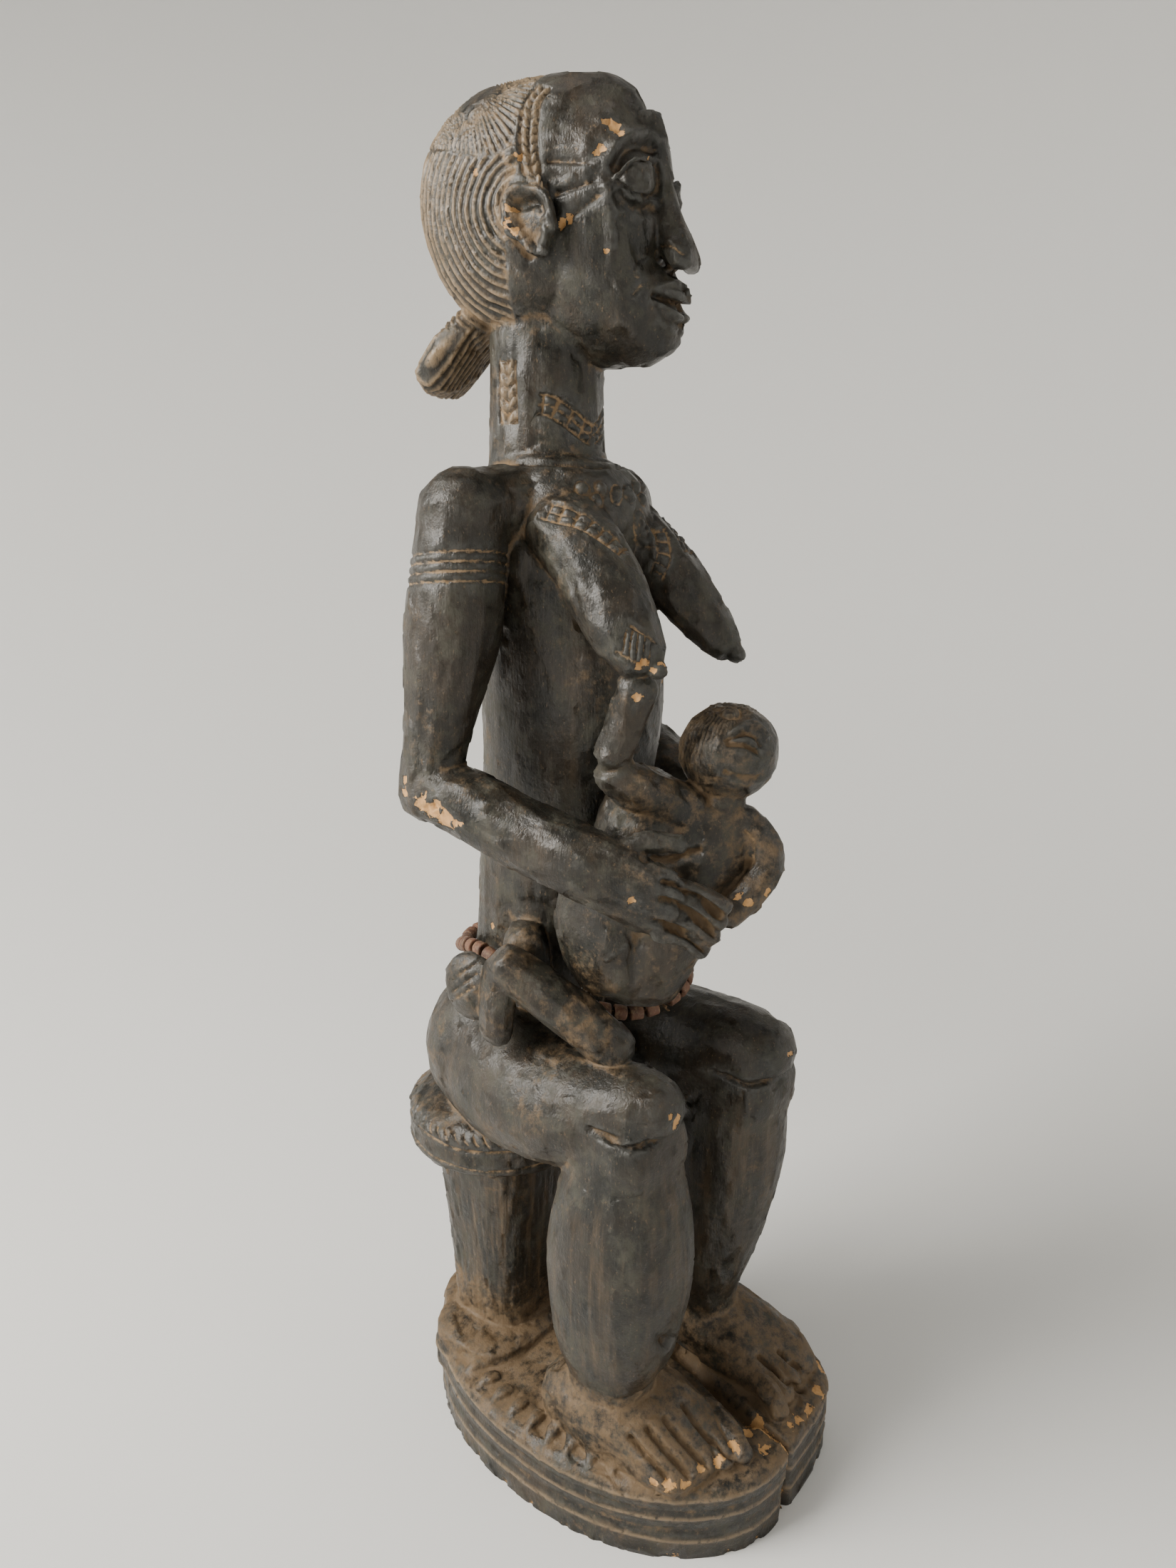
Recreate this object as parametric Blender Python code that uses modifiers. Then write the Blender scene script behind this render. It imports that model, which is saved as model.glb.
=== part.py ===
"""A seated mother nursing a child, carved from one block of wood with her stool and her oval
base, and a string of baked clay beads round her hips.

Frame: metres, +Z up. The origin is the middle of the underside of the base. She faces -Y,
and her left side is towards +X.
"""
import math

import bmesh
import bpy
import numpy as np
from mathutils import Matrix, Vector

MM = 0.001

# Driving sizes, in millimetres
BASE_HALF_WIDTH = 94.0
BASE_SHIFT = 4.0
BASE_FRONT = 129.0
BASE_BACK = 134.0
BASE_ROUNDNESS = 2.15
CORNER_SQUARENESS = 1.9
CORNER_ANGLE = -52.0
CORNER_SPREAD = 38.0
BASE_HEIGHT = 47.0
BASE_CROWN = 53.0
TOOTH_COUNT = 36
TOOTH_FIRST_ANGLE = -34.0
TOOTH_LAST_ANGLE = 214.0

STOOL_CENTRE = (-10.0, 89.0)
COLUMN_CENTRE = (-6.0, 84.0)
STOOL_RADIUS = 61.0
STOOL_UNDER = 186.0
STOOL_TOP = 219.0

SHOULDER_SPREAD = 66.0
SHOULDER_RADIUS = 25.0
NECK_CENTRE = (-1.5, 50.5)
NECK_RADIUS = 31.0

HEAD_AXIS = (0.0, 47.0)
HEAD_TURN = 17.0

# The string of beads: a closed route round the hips, through these places
STRAND_ROUTE = [(0, 114, 322), (-22, 107, 321), (-40, 88, 332), (-50, 62, 338), (-50, 34, 330),
                (-36, 5, 317), (-12, -20, 309), (14, -33, 315), (38, -23, 322), (56, 8, 326),
                (56, 50, 328), (38, 94, 324)]
BEAD_COUNT = 42
BEAD_RADIUS = 4.8
BEAD_END_RADIUS = 3.3
BEAD_HOLE_RADIUS = 1.5
BEAD_LENGTH_SHARE = 0.86
BEAD_SIDES = 7
STRING_RADIUS = 0.8
STRING_POINTS = 60
KNOT_PLACE = 0.49
KNOT_RADIUS = 2.0
KNOT_GAP = 5.0
TAIL_RADIUS = 0.7
TAIL_ENDS = [(-3.5, -5.5, 1.0), (-0.5, -5.5, -3.0)]
KNOT_POCKET = 8.5
CHANNEL_CLEARANCE = 0.7

# How finely the carving is fused and then thinned
FUSE_VOXEL = 0.0022
FIGURE_TRIANGLES = 5900
RING_SIDES = 22

WOOD = ("blackened_wood", (0.050, 0.043, 0.037, 1.0), 0.45, 0.0)
CLAY = ("baked_clay", (0.200, 0.090, 0.050, 1.0), 0.75, 0.0)
THREAD = ("brown_thread", (0.110, 0.075, 0.045, 1.0), 0.90, 0.0)


def clear_scene():
    for old in list(bpy.data.objects):
        bpy.data.objects.remove(old, do_unlink=True)


def make_material(name, colour, roughness, metallic):
    material = bpy.data.materials.new(name)
    material.use_nodes = True
    shader = material.node_tree.nodes["Principled BSDF"]
    shader.inputs["Base Color"].default_value = colour
    shader.inputs["Roughness"].default_value = roughness
    shader.inputs["Metallic"].default_value = metallic
    return material


def new_object(name, bm, collection=None):
    mesh = bpy.data.meshes.new(name)
    bm.to_mesh(mesh)
    bm.free()
    obj = bpy.data.objects.new(name, mesh)
    (collection or bpy.context.scene.collection).objects.link(obj)
    return obj


def smooth_rows(rows, steps):
    """Catmull-Rom curve through the rows, each a tuple of numbers, with steps per span."""
    rows = np.array(rows, float)
    padded = np.vstack([2 * rows[0] - rows[1], rows, 2 * rows[-1] - rows[-2]])
    out = []
    for i in range(1, len(padded) - 2):
        p0, p1, p2, p3 = padded[i - 1:i + 3]
        for t in np.linspace(0, 1, steps, endpoint=False):
            out.append(0.5 * (2 * p1 + (p2 - p0) * t + (2 * p0 - 5 * p1 + 4 * p2 - p3) * t * t
                              + (3 * p1 - p0 - 3 * p2 + p3) * t ** 3))
    out.append(rows[-1])
    return np.array(out)


def limb(stations, side=(1, 0, 0), power=2.0, round_start=0.7, round_end=0.7, steps=4):
    """A closed carved form through stations of (x, y, z, half width, half thickness).

    side is the direction of the half width, power squares the section above 2, and the ends
    are domed by round_start and round_end times the half thickness there."""
    rows = smooth_rows(stations, steps)
    centres, halves = rows[:, :3], np.maximum(rows[:, 3:], 0.2)
    tangents = np.gradient(centres, axis=0)
    tangents /= np.linalg.norm(tangents, axis=1)[:, None]
    rings = []

    def ring(centre, tangent, half_a, half_b):
        axis_a = np.array(side, float) - tangent * np.dot(side, tangent)
        axis_a /= np.linalg.norm(axis_a)
        axis_b = np.cross(tangent, axis_a)
        points = []
        for k in range(RING_SIDES):
            angle = 2 * math.pi * k / RING_SIDES
            c, s = math.cos(angle), math.sin(angle)
            points.append(centre + axis_a * half_a * math.copysign(abs(c) ** (2 / power), c)
                          + axis_b * half_b * math.copysign(abs(s) ** (2 / power), s))
        return points

    for share in (0.97, 0.8, 0.5):
        shrink = math.sqrt(1 - share ** 2)
        rings.append(ring(centres[0] - tangents[0] * halves[0, 1] * round_start * share, tangents[0],
                          *(halves[0] * shrink)))
    for centre, tangent, half in zip(centres, tangents, halves):
        rings.append(ring(centre, tangent, *half))
    for share in (0.5, 0.8, 0.97):
        shrink = math.sqrt(1 - share ** 2)
        rings.append(ring(centres[-1] + tangents[-1] * halves[-1, 1] * round_end * share, tangents[-1],
                          *(halves[-1] * shrink)))
    bm = bmesh.new()
    verts = [[bm.verts.new(Vector(p) * MM) for p in points] for points in rings]
    for lower, upper in zip(verts, verts[1:]):
        for k in range(RING_SIDES):
            n = (k + 1) % RING_SIDES
            bm.faces.new((lower[k], lower[n], upper[n], upper[k]))
    bm.faces.new(list(reversed(verts[0])))
    bm.faces.new(verts[-1])
    bmesh.ops.recalc_face_normals(bm, faces=bm.faces)
    return new_object("form", bm)


def ball(centre, radii, turn=(0.0, 0.0, 0.0), segments=20):
    """An ellipsoid, turned by degrees about X, then Y, then Z."""
    bm = bmesh.new()
    bmesh.ops.create_uvsphere(bm, u_segments=segments, v_segments=segments * 3 // 5, radius=1.0)
    spin = (Matrix.Rotation(math.radians(turn[2]), 4, "Z") @ Matrix.Rotation(math.radians(turn[1]), 4, "Y")
            @ Matrix.Rotation(math.radians(turn[0]), 4, "X"))
    size = Matrix.Diagonal((radii[0] * MM, radii[1] * MM, radii[2] * MM, 1.0))
    bmesh.ops.transform(bm, matrix=Matrix.Translation(Vector(centre) * MM) @ spin @ size, verts=bm.verts)
    return new_object("form", bm)


def mirrored(stations, inward=0.0, back=0.0):
    """The same form on her other side, moved inward and back by so much."""
    return [(-x - inward, y + back, *rest) for x, y, *rest in stations]


def oval(angle, grow=0.0):
    """A point of the base's outline; angle 0 is her left, and the front is at -90 degrees.

    The outline is nearly an ellipse, and squarer at the corner in front of her left foot."""
    depth = BASE_BACK if math.sin(angle) > 0 else BASE_FRONT
    away = (math.degrees(angle) - CORNER_ANGLE + 180) % 360 - 180
    power = BASE_ROUNDNESS + CORNER_SQUARENESS * math.exp(-(away / CORNER_SPREAD) ** 2)
    c, s = math.cos(angle), math.sin(angle)
    reach = (abs(c) ** power + abs(s) ** power) ** (-1 / power)
    return BASE_SHIFT + (BASE_HALF_WIDTH + grow) * c * reach, (depth + grow) * s * reach


def base_forms():
    """The oval base: a foot band, two grooves and a low crown, as stacked ovals."""
    profile = [(0.0, -8.0), (0.0, 0.0), (0.0, 17.0), (-1.6, 19.0), (-1.6, 22.0), (0.2, 24.0),
               (0.2, 33.0), (-1.4, 35.0), (0.6, 37.0), (-0.5, BASE_HEIGHT - 2), (-3.0, BASE_HEIGHT),
               (-30.0, BASE_CROWN - 2), (-60.0, BASE_CROWN)]
    sides = 64
    bm = bmesh.new()
    rings = []
    for grow, z in profile:
        rings.append([bm.verts.new(Vector((*oval(2 * math.pi * k / sides, grow), z)) * MM)
                      for k in range(sides)])
    for lower, upper in zip(rings, rings[1:]):
        for k in range(sides):
            n = (k + 1) % sides
            bm.faces.new((lower[k], lower[n], upper[n], upper[k]))
    bm.faces.new(list(reversed(rings[0])))
    bm.faces.new(rings[-1])
    forms = [new_object("form", bm)]
    for k in range(TOOTH_COUNT):
        share = k / (TOOTH_COUNT - 1)
        angle = math.radians(TOOTH_FIRST_ANGLE + (TOOTH_LAST_ANGLE - TOOTH_FIRST_ANGLE) * share)
        inner, outer = oval(angle, -19.0), oval(angle, -6.0)
        middle = oval(angle, -13.0)
        along = math.radians(90) + math.atan2(outer[1] - inner[1], outer[0] - inner[0])
        forms.append(limb([(*inner, BASE_HEIGHT + 3.5, 3.8, 2.0), (*middle, BASE_HEIGHT + 3.5, 4.0, 3.2),
                           (*outer, BASE_HEIGHT + 0.5, 1.4, 2.2)],
                          side=(math.cos(along), math.sin(along), 0), power=3.0, steps=2))
    return forms


def stool_forms():
    x, y = STOOL_CENTRE
    column_x, column_y = COLUMN_CENTRE
    seat_middle = (STOOL_UNDER + STOOL_TOP) / 2
    half = (STOOL_TOP - STOOL_UNDER) / 2
    forms = [
        limb([(x, y, STOOL_UNDER, STOOL_RADIUS - 8, STOOL_RADIUS - 8),
              (x, y, STOOL_UNDER + 5, STOOL_RADIUS, STOOL_RADIUS),
              (x, y, seat_middle, STOOL_RADIUS - 1, STOOL_RADIUS - 1),
              (x, y, STOOL_TOP - 6, STOOL_RADIUS, STOOL_RADIUS),
              (x, y, STOOL_TOP, STOOL_RADIUS - 8, STOOL_RADIUS - 8)],
             round_start=0.02, round_end=half / STOOL_RADIUS / 2, steps=3),
        limb([(column_x, column_y, 50, 38, 31), (column_x, column_y, 110, 41, 34),
              (column_x, column_y, 190, 47, 40)], power=3.2, round_start=0.1, round_end=0.1),
        limb([(0, 78, 30, 70, 38), (0, 78, 58, 68, 37)], power=3.6, round_start=0.1, round_end=0.1),
        limb([(0, 100, 30, 50, 34), (0, 100, 58, 48, 31)], power=2.4, round_start=0.1, round_end=0.1),
    ]
    return forms


def leg_forms():
    """Thighs resting on the stool, heavy shins, and feet with five toes."""
    right_thigh = [(-31, 80, 259, 35, 47), (-40, 50, 257, 37, 45), (-48, 10, 258, 36, 38),
                   (-49, -24, 265, 32, 32), (-48, -52, 276, 25, 23), (-47, -66, 280, 19, 16)]
    left_thigh = [(33, 80, 259, 35, 47), (42, 50, 257, 37, 45), (49, 10, 258, 36, 40),
                  (52, -30, 264, 33, 35), (53, -64, 273, 27, 26), (54, -78, 277, 20, 17)]
    right_shin = [(-49, -40, 268, 27, 26), (-48, -42, 240, 31, 32), (-49, -42, 205, 36, 40),
                  (-49, -40, 165, 37, 43), (-50, -38, 120, 32, 36), (-49, -36, 96, 25, 27),
                  (-48, -35, 70, 23, 25)]
    left_shin = [(53, -54, 262, 28, 26), (53, -54, 235, 32, 30), (53, -50, 200, 34, 34),
                 (50, -45, 160, 31, 33), (46, -40, 120, 26, 28), (45, -38, 96, 21, 23),
                 (45, -38, 70, 20, 22)]
    right_foot = [(-47, -4, 60, 25, 20), (-47, -32, 66, 31, 28), (-42, -60, 62, 32, 23),
                  (-42, -84, 55, 31, 14), (-45, -97, 50, 27, 8)]
    left_foot = [(46, -2, 60, 22, 19), (47, -26, 65, 27, 26), (51, -58, 61, 30, 23),
                 (52, -88, 55, 30, 14), (49, -103, 50, 27, 8)]
    forms = [
        limb(right_thigh), limb(left_thigh),
        limb(right_shin, power=2.3), limb(left_shin, power=2.3),
        ball((-31, 78, 262), (38, 43, 49)), ball((33, 78, 262), (38, 43, 49)),
        limb([(-49, -41, 266, 28, 27), (-49, -44, 250, 29, 30), (-49, -44, 238, 27, 28)],
             power=4.0, round_start=0.1, round_end=0.3),
        limb([(54, -53, 262, 28, 27), (54, -56, 246, 30, 29), (53, -54, 232, 28, 27)],
             power=4.0, round_start=0.1, round_end=0.3),
        limb(right_foot, power=2.8), limb(left_foot, power=2.8),
    ]
    # each foot: where its big and its little toe begin and end
    for big_root, little_root, big_tip, little_tip in (
            ((-9, -78), (-55, -56), (-21, -118), (-65, -93)),
            ((30, -86), (80, -82), (20, -119), (70, -108))):
        for toe in range(5):
            share = toe / 4
            x0, y0 = (a + (b - a) * share for a, b in zip(big_root, little_root))
            x1, y1 = (a + (b - a) * share for a, b in zip(big_tip, little_tip))
            half = 6.4 - 1.2 * share
            forms.append(limb([(x0, y0, 60, half, 6), ((x0 + x1) / 2, (y0 + y1) / 2, 58, half, 7),
                               (x1, y1 + 5, 53, half, 6)], steps=3))
    return forms


def torso_forms():
    body = [(0, 66, 268, 46, 42), (0, 63, 300, 42, 40), (0, 58, 330, 41, 41), (0, 52, 365, 41, 45),
            (0, 45, 405, 42, 48), (0, 38, 450, 44, 52), (0, 35, 495, 45, 55), (0, 38, 535, 48, 50),
            (0, 42, 565, 52, 44), (-1, 37, 588, 50, 42), (-1, 43, 603, 42, 36), (0, 47, 612, 38, 26)]
    forms = [
        limb(body, power=2.2, round_end=0.3),
        limb([(-SHOULDER_SPREAD, 50, 593, 24, 22), (-32, 48, 596, 26, 22), (0, 46, 598, 30, 21),
              (30, 50, 596, 25, 22), (SHOULDER_SPREAD - 5, 54, 593, 24, 22)], side=(0, 1, 0)),
        ball((-SHOULDER_SPREAD - 2, 50, 592), (SHOULDER_RADIUS,) * 3),
        ball((SHOULDER_SPREAD - 4, 55, 592), (SHOULDER_RADIUS,) * 3),
    ]
    right_breast = [(-30, 14, 586, 24, 20), (-33, -3, 573, 24, 20), (-38, -21, 554, 22, 20),
                    (-42, -36, 536, 19, 17), (-43, -46, 525, 15, 13)]
    left_breast = [(26, 16, 582, 22, 18), (29, -2, 567, 21, 18), (32, -20, 549, 18, 16),
                   (35, -36, 531, 14, 13), (36, -46, 521, 10, 9)]
    forms += [limb(right_breast), limb(left_breast),
              ball((-43, -56, 520), (5, 6, 5)), ball((37, -52, 517), (5, 6, 5))]
    return forms


def arm_forms():
    """Arms clear of the flanks; the hands hold the child, and the left one is behind it."""
    upper = [(-SHOULDER_SPREAD - 4, 50, 585, 23, 24), (-74, 51, 556, 25, 26), (-77, 53, 530, 25, 26),
             (-82, 56, 500, 20, 22), (-87, 58, 472, 17, 18), (-90, 59, 450, 17, 18)]
    right_fore = [(-91, 58, 449, 17, 16), (-87, 34, 444, 18, 18), (-80, 2, 432, 18, 19),
                  (-73, -32, 422, 17, 19), (-64, -52, 412, 13, 20), (-55, -66, 403, 9, 22)]
    left_fore = [(86, 64, 449, 17, 16), (80, 38, 442, 18, 18), (69, 8, 430, 18, 18),
                 (56, -20, 418, 16, 17), (42, -42, 408, 12, 18), (26, -56, 401, 9, 17)]
    forms = [limb(upper), limb(mirrored(upper, inward=5.0, back=5.0)),
             limb(right_fore, power=2.2), limb(left_fore, power=2.2),
             ball((-93, 60, 446), (14, 16, 15)), ball((88, 65, 446), (14, 16, 15))]
    for finger in range(4):
        lift = 10.5 - finger * 9.5
        reach = (0.95, 0.9, 0.8, 0.65)[finger]
        forms.append(limb([(-54, -66, 404 + lift, 5, 4.6),
                           (-54 + 14 * reach, -67 - 16 * reach, 399 + lift * 0.85, 5.5, 4.5),
                           (-54 + 26 * reach, -67 - 27 * reach, 390 + lift * 0.85, 5, 4.3)],
                          power=2.8, steps=3))
    forms.append(limb([(-66, -46, 428, 6, 6), (-54, -60, 434, 5.5, 5.5), (-42, -72, 432, 5, 5)], steps=3))
    return forms


def head_local(s, h, z):
    """A place on her head: s forward, h to her right, from the head's axis at height z."""
    turn = math.radians(HEAD_TURN)
    forward = Vector((math.sin(turn), -math.cos(turn), 0))
    right = Vector((-math.cos(turn), -math.sin(turn), 0))
    return tuple(Vector((*HEAD_AXIS, z)) + forward * s + right * h)


def head_limb(stations, **options):
    """A limb in head coordinates: stations of (s, h, z, half width, half thickness)."""
    turn = math.radians(HEAD_TURN)
    rows = [(*head_local(s, h, z), a, b) for s, h, z, a, b in stations]
    return limb(rows, side=(math.cos(turn), math.sin(turn), 0), **options)


def head_stack(rows, power):
    """Level oval slices of the head: rows of (height, middle, half depth, half width)."""
    rows = smooth_rows(rows, 3)
    bm = bmesh.new()
    rings = []
    for z, middle, deep, wide in rows:
        ring = []
        for k in range(RING_SIDES * 2):
            angle = math.pi * k / RING_SIDES
            c, s = math.cos(angle), math.sin(angle)
            ring.append(bm.verts.new(Vector(head_local(
                middle + deep * math.copysign(abs(c) ** (2 / power), c),
                wide * math.copysign(abs(s) ** (2 / power), s), z)) * MM))
        rings.append(ring)
    for lower, upper in zip(rings, rings[1:]):
        for k in range(len(lower)):
            n = (k + 1) % len(lower)
            bm.faces.new((lower[k], lower[n], upper[n], upper[k]))
    bm.faces.new(rings[0])
    bm.faces.new(rings[-1])
    bmesh.ops.recalc_face_normals(bm, faces=bm.faces)
    return new_object("form", bm)


def head_ball(s, h, z, radii):
    return ball(head_local(s, h, z), radii, (0, 0, HEAD_TURN))


def head_forms():
    # rows: height, middle, half depth, half width
    crown = [(685, -6, 20, 16), (691, -8, 35, 32), (700, -8, 44, 40), (710, -9, 51, 44), (722, -10, 56, 46.5),
             (738, -11, 60, 48), (758, -11, 61, 47), (774, -8.5, 59, 43.5), (786, -4.5, 55, 38), (795, -1, 48, 31),
             (801, 1.5, 39, 22.5), (804.5, 4, 26, 12), (805.5, 6, 8, 4)]
    face = [(667, 40, 14, 8), (673, 37, 26, 18), (682, 34, 31, 26), (692, 31, 34.5, 32), (704, 28, 35, 37),
            (718, 25, 35, 40.5), (735, 24, 36, 42), (755, 24, 36, 42), (768, 22, 36, 40), (779, 18, 35, 36),
            (787, 14, 31, 30), (793, 10, 24, 22), (796, 8, 12, 11)]
    forms = [
        head_stack(crown, power=2.1), head_stack(face, power=2.8),
        limb([(*NECK_CENTRE, 600, 34, 34), (*NECK_CENTRE, 625, NECK_RADIUS + 1, NECK_RADIUS + 1),
              (*NECK_CENTRE, 660, NECK_RADIUS, NECK_RADIUS), (*NECK_CENTRE, 705, 30, 30)],
             side=(1, 0, 0), round_start=0.1, round_end=0.1),
        head_limb([(52, 0, 780, 10, 9), (57, 0, 764, 9, 8), (59, 0, 750, 8, 8), (63.5, 0, 735, 9, 9),
                   (69, 0, 723, 13, 8.5), (73, 0, 716, 16, 7.5), (73.5, 0, 712.5, 16, 6)], steps=3, power=1.7,
                  round_end=0.1),
        head_limb([(56, 0, 705, 20, 14), (58, 0, 694, 20, 14), (54, 0, 682, 16, 13)], steps=3, power=2.4),
        head_limb([(60, -19, 699, 3, 5), (69, -9, 699, 4, 6), (71, 0, 700, 5, 6), (69, 9, 699, 4, 6),
                   (60, 19, 699, 3, 5)], steps=3),
        head_limb([(60, -17, 688, 3, 5), (68, -9, 688, 4, 6), (70, 0, 688, 5, 6), (68, 9, 688, 4, 6),
                   (60, 17, 688, 3, 5)], steps=3),
        head_ball(59, 0, 679, (13, 12, 9)),
    ]
    for flip in (1, -1):
        forms += [
            head_ball(52, 27 * flip, 748, (11, 12, 9)),
            head_limb([(50, 38 * flip, 749, 2.5, 2), (57, 33 * flip, 756, 2.5, 2),
                       (61, 24 * flip, 757, 2.5, 2), (60, 15 * flip, 750, 2, 2)], steps=3),
            head_limb([(7, 47.5 * flip, 747, 4.5, 11), (8, 50.5 * flip, 738, 5, 15.5), (12, 50 * flip, 727, 5, 13),
                       (14, 47 * flip, 717, 4, 5)], steps=3, power=2.6),
        ]
    forms.append(head_limb([(-36, 0, 695, 24, 10), (-50, 0, 684, 25, 11), (-61, 0, 672, 25, 12),
                            (-69, 0, 662, 23, 11)], power=2.6))
    return forms


def child_forms():
    """The child lies across her lap: legs to her right hip, head on her left arm."""
    return [
        ball((10, -66, 470), (27, 27, 26)),
        limb([(5, -68, 448, 11, 11), (2, -66, 432, 13, 13)], steps=3),
        limb([(-2, -62, 434, 25, 15), (-5, -60, 420, 29, 18), (-9, -55, 400, 27, 19), (-13, -48, 378, 24, 20),
              (-17, -40, 356, 24, 20), (-20, -32, 338, 24, 19)], side=(0.75, -0.66, 0)),
        limb([(-12, -54, 440, 14, 14), (-32, -42, 452, 13, 13), (-46, -30, 466, 11, 11),
              (-45, -36, 486, 10, 10), (-42, -44, 510, 11, 11)], side=(0, 0, 1), steps=3),
        limb([(10, -75, 432, 11, 11), (15, -85, 420, 11, 11), (14, -90, 408, 10, 10),
              (2, -88, 396, 9, 9), (-12, -83, 386, 8, 8)], side=(0, 0, 1), steps=3),
        ball((-20, -33, 412), (32, 28, 50)), 
        limb([(-26, -16, 392, 25, 26), (-27, -14, 366, 26, 27), (-22, -20, 344, 25, 22)], power=3.4),
        # hip block, near thigh and shin, far knee, and the foot spread on her hip
        ball((-15, -27, 338), (27, 20, 20), (0, 0, -50)),
        limb([(-41, -31, 301, 13, 13), (-50, -17, 315, 14, 14), (-62, 4, 333, 13.5, 13.5),
              (-72, 24, 349, 12, 12)], side=(0, 0, 1), steps=3),
        limb([(-72, 27, 345, 9, 11), (-75, 28, 325, 9, 11), (-74, 31, 305, 8, 10)], steps=3),
        limb([(-38, 38, 330, 13, 13), (-44, 34, 346, 13, 13), (-46, 33, 356, 11, 11)],
             side=(0.63, -0.78, 0), power=3.2, round_end=0.5),
        ball((-73, 50, 328), (9, 19, 21), (0, 0, 8)),
    ]


def fuse_figure(forms, collection):
    """Joins the carved forms into one closed skin, softens it and thins it out."""
    bm = bmesh.new()
    for form in forms:
        bm.from_mesh(form.data)
    for form in forms:
        bpy.data.objects.remove(form, do_unlink=True)
    figure = new_object("carved_figure", bm, collection)
    remesh = figure.modifiers.new("one_skin", "REMESH")
    remesh.mode = "VOXEL"
    remesh.voxel_size = FUSE_VOXEL
    soften = figure.modifiers.new("soften", "SMOOTH")
    soften.factor = 0.5
    soften.iterations = 2
    return figure


def applied(obj):
    """Replaces an object's mesh by the evaluated one and drops its modifiers."""
    depsgraph = bpy.context.evaluated_depsgraph_get()
    mesh = bpy.data.meshes.new_from_object(obj.evaluated_get(depsgraph))
    obj.modifiers.clear()
    obj.data = mesh
    return obj


def strand_route():
    """The length of the beads' closed route, and a function giving the place at a distance on it."""
    rows = np.array(STRAND_ROUTE, float)
    curve = []
    for i in range(len(rows)):
        p0, p1, p2, p3 = (rows[(i + k - 1) % len(rows)] for k in range(4))
        for t in np.linspace(0, 1, 16, endpoint=False):
            curve.append(0.5 * (2 * p1 + (p2 - p0) * t + (2 * p0 - 5 * p1 + 4 * p2 - p3) * t * t
                                + (3 * p1 - p0 - 3 * p2 + p3) * t ** 3))
    curve = np.array(curve + curve[:1])
    along = np.concatenate([[0], np.cumsum(np.linalg.norm(np.diff(curve, axis=0), axis=1))])

    def at(distance):
        return np.array([np.interp(distance % along[-1], along, curve[:, k]) for k in range(3)])

    return along[-1], at


def tube(name, points, radius, collection, cyclic, roundness=1):
    """A round tube along the points, made a mesh with welded caps."""
    curve = bpy.data.curves.new(name, "CURVE")
    curve.dimensions = "3D"
    curve.bevel_depth = radius * MM
    curve.bevel_resolution = roundness
    curve.use_fill_caps = not cyclic
    spline = curve.splines.new("POLY")
    spline.points.add(len(points) - 1)
    for point, place in zip(spline.points, points):
        point.co = (*(Vector(place) * MM), 1.0)
    spline.use_cyclic_u = cyclic
    wire = bpy.data.objects.new(name + "_wire", curve)
    collection.objects.link(wire)
    mesh = bpy.data.meshes.new_from_object(wire.evaluated_get(bpy.context.evaluated_depsgraph_get()))
    bpy.data.objects.remove(wire, do_unlink=True)
    bm = bmesh.new()
    bm.from_mesh(mesh)
    bpy.data.meshes.remove(mesh)
    bmesh.ops.remove_doubles(bm, verts=bm.verts, dist=0.00001)
    bmesh.ops.recalc_face_normals(bm, faces=bm.faces)
    return new_object(name, bm, collection)


def boolean(obj, cutter, operation):
    modifier = obj.modifiers.new(cutter.name, "BOOLEAN")
    modifier.operation = operation
    modifier.solver = "EXACT"
    modifier.object = cutter
    cutter.hide_render = True
    cutter.display_type = "WIRE"


def make_cutters(collection):
    """What is taken from the carving: all below the floor, the beads' channel, the knot's pocket."""
    bm = bmesh.new()
    bmesh.ops.create_cube(bm, size=1.0)
    bmesh.ops.transform(bm, matrix=Matrix.Translation((0, 0, -0.05)) @ Matrix.Diagonal((0.4, 0.4, 0.1, 1)),
                        verts=bm.verts)
    floor = new_object("below_floor", bm, collection)
    length, at = strand_route()
    channel = tube("bead_channel", [at(length * k / 72) for k in range(72)],
                   BEAD_RADIUS + CHANNEL_CLEARANCE, collection, cyclic=True, roundness=2)
    pocket = ball(at(length * KNOT_PLACE), (KNOT_POCKET,) * 3, segments=12)
    pocket.name = "knot_pocket"
    bpy.context.scene.collection.objects.unlink(pocket)
    collection.objects.link(pocket)
    return [floor, channel, pocket]


def make_beads(collection, material):
    """The clay beads, evenly strung from one side of the knot to the other."""
    length, at = strand_route()
    pitch = (length - KNOT_GAP) / BEAD_COUNT
    half = pitch * BEAD_LENGTH_SHARE / 2
    outline = [(BEAD_HOLE_RADIUS, half), (BEAD_END_RADIUS, half), (BEAD_RADIUS, 0.0),
               (BEAD_END_RADIUS, -half), (BEAD_HOLE_RADIUS, -half)]
    profile = bpy.data.meshes.new("bead_profile")
    profile.from_pydata([(x * MM, 0, z * MM) for x, z in outline],
                        [(i, (i + 1) % len(outline)) for i in range(len(outline))], [])
    profile.materials.append(material)
    start = length * KNOT_PLACE + KNOT_GAP / 2
    for number in range(BEAD_COUNT):
        middle = start + (number + 0.5) * pitch
        bead = bpy.data.objects.new(f"bead_{number + 1:02d}", profile)
        collection.objects.link(bead)
        bead.location = Vector(at(middle)) * MM
        bead.rotation_mode = "QUATERNION"
        bead.rotation_quaternion = Vector(at(middle + 2) - at(middle - 2)).to_track_quat("Z", "Y")
        turn = bead.modifiers.new("turned", "SCREW")
        turn.steps = BEAD_SIDES
        turn.render_steps = BEAD_SIDES
        turn.use_merge_vertices = True
        turn.merge_threshold = 0.00001
        turn.use_smooth_shade = True


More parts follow.
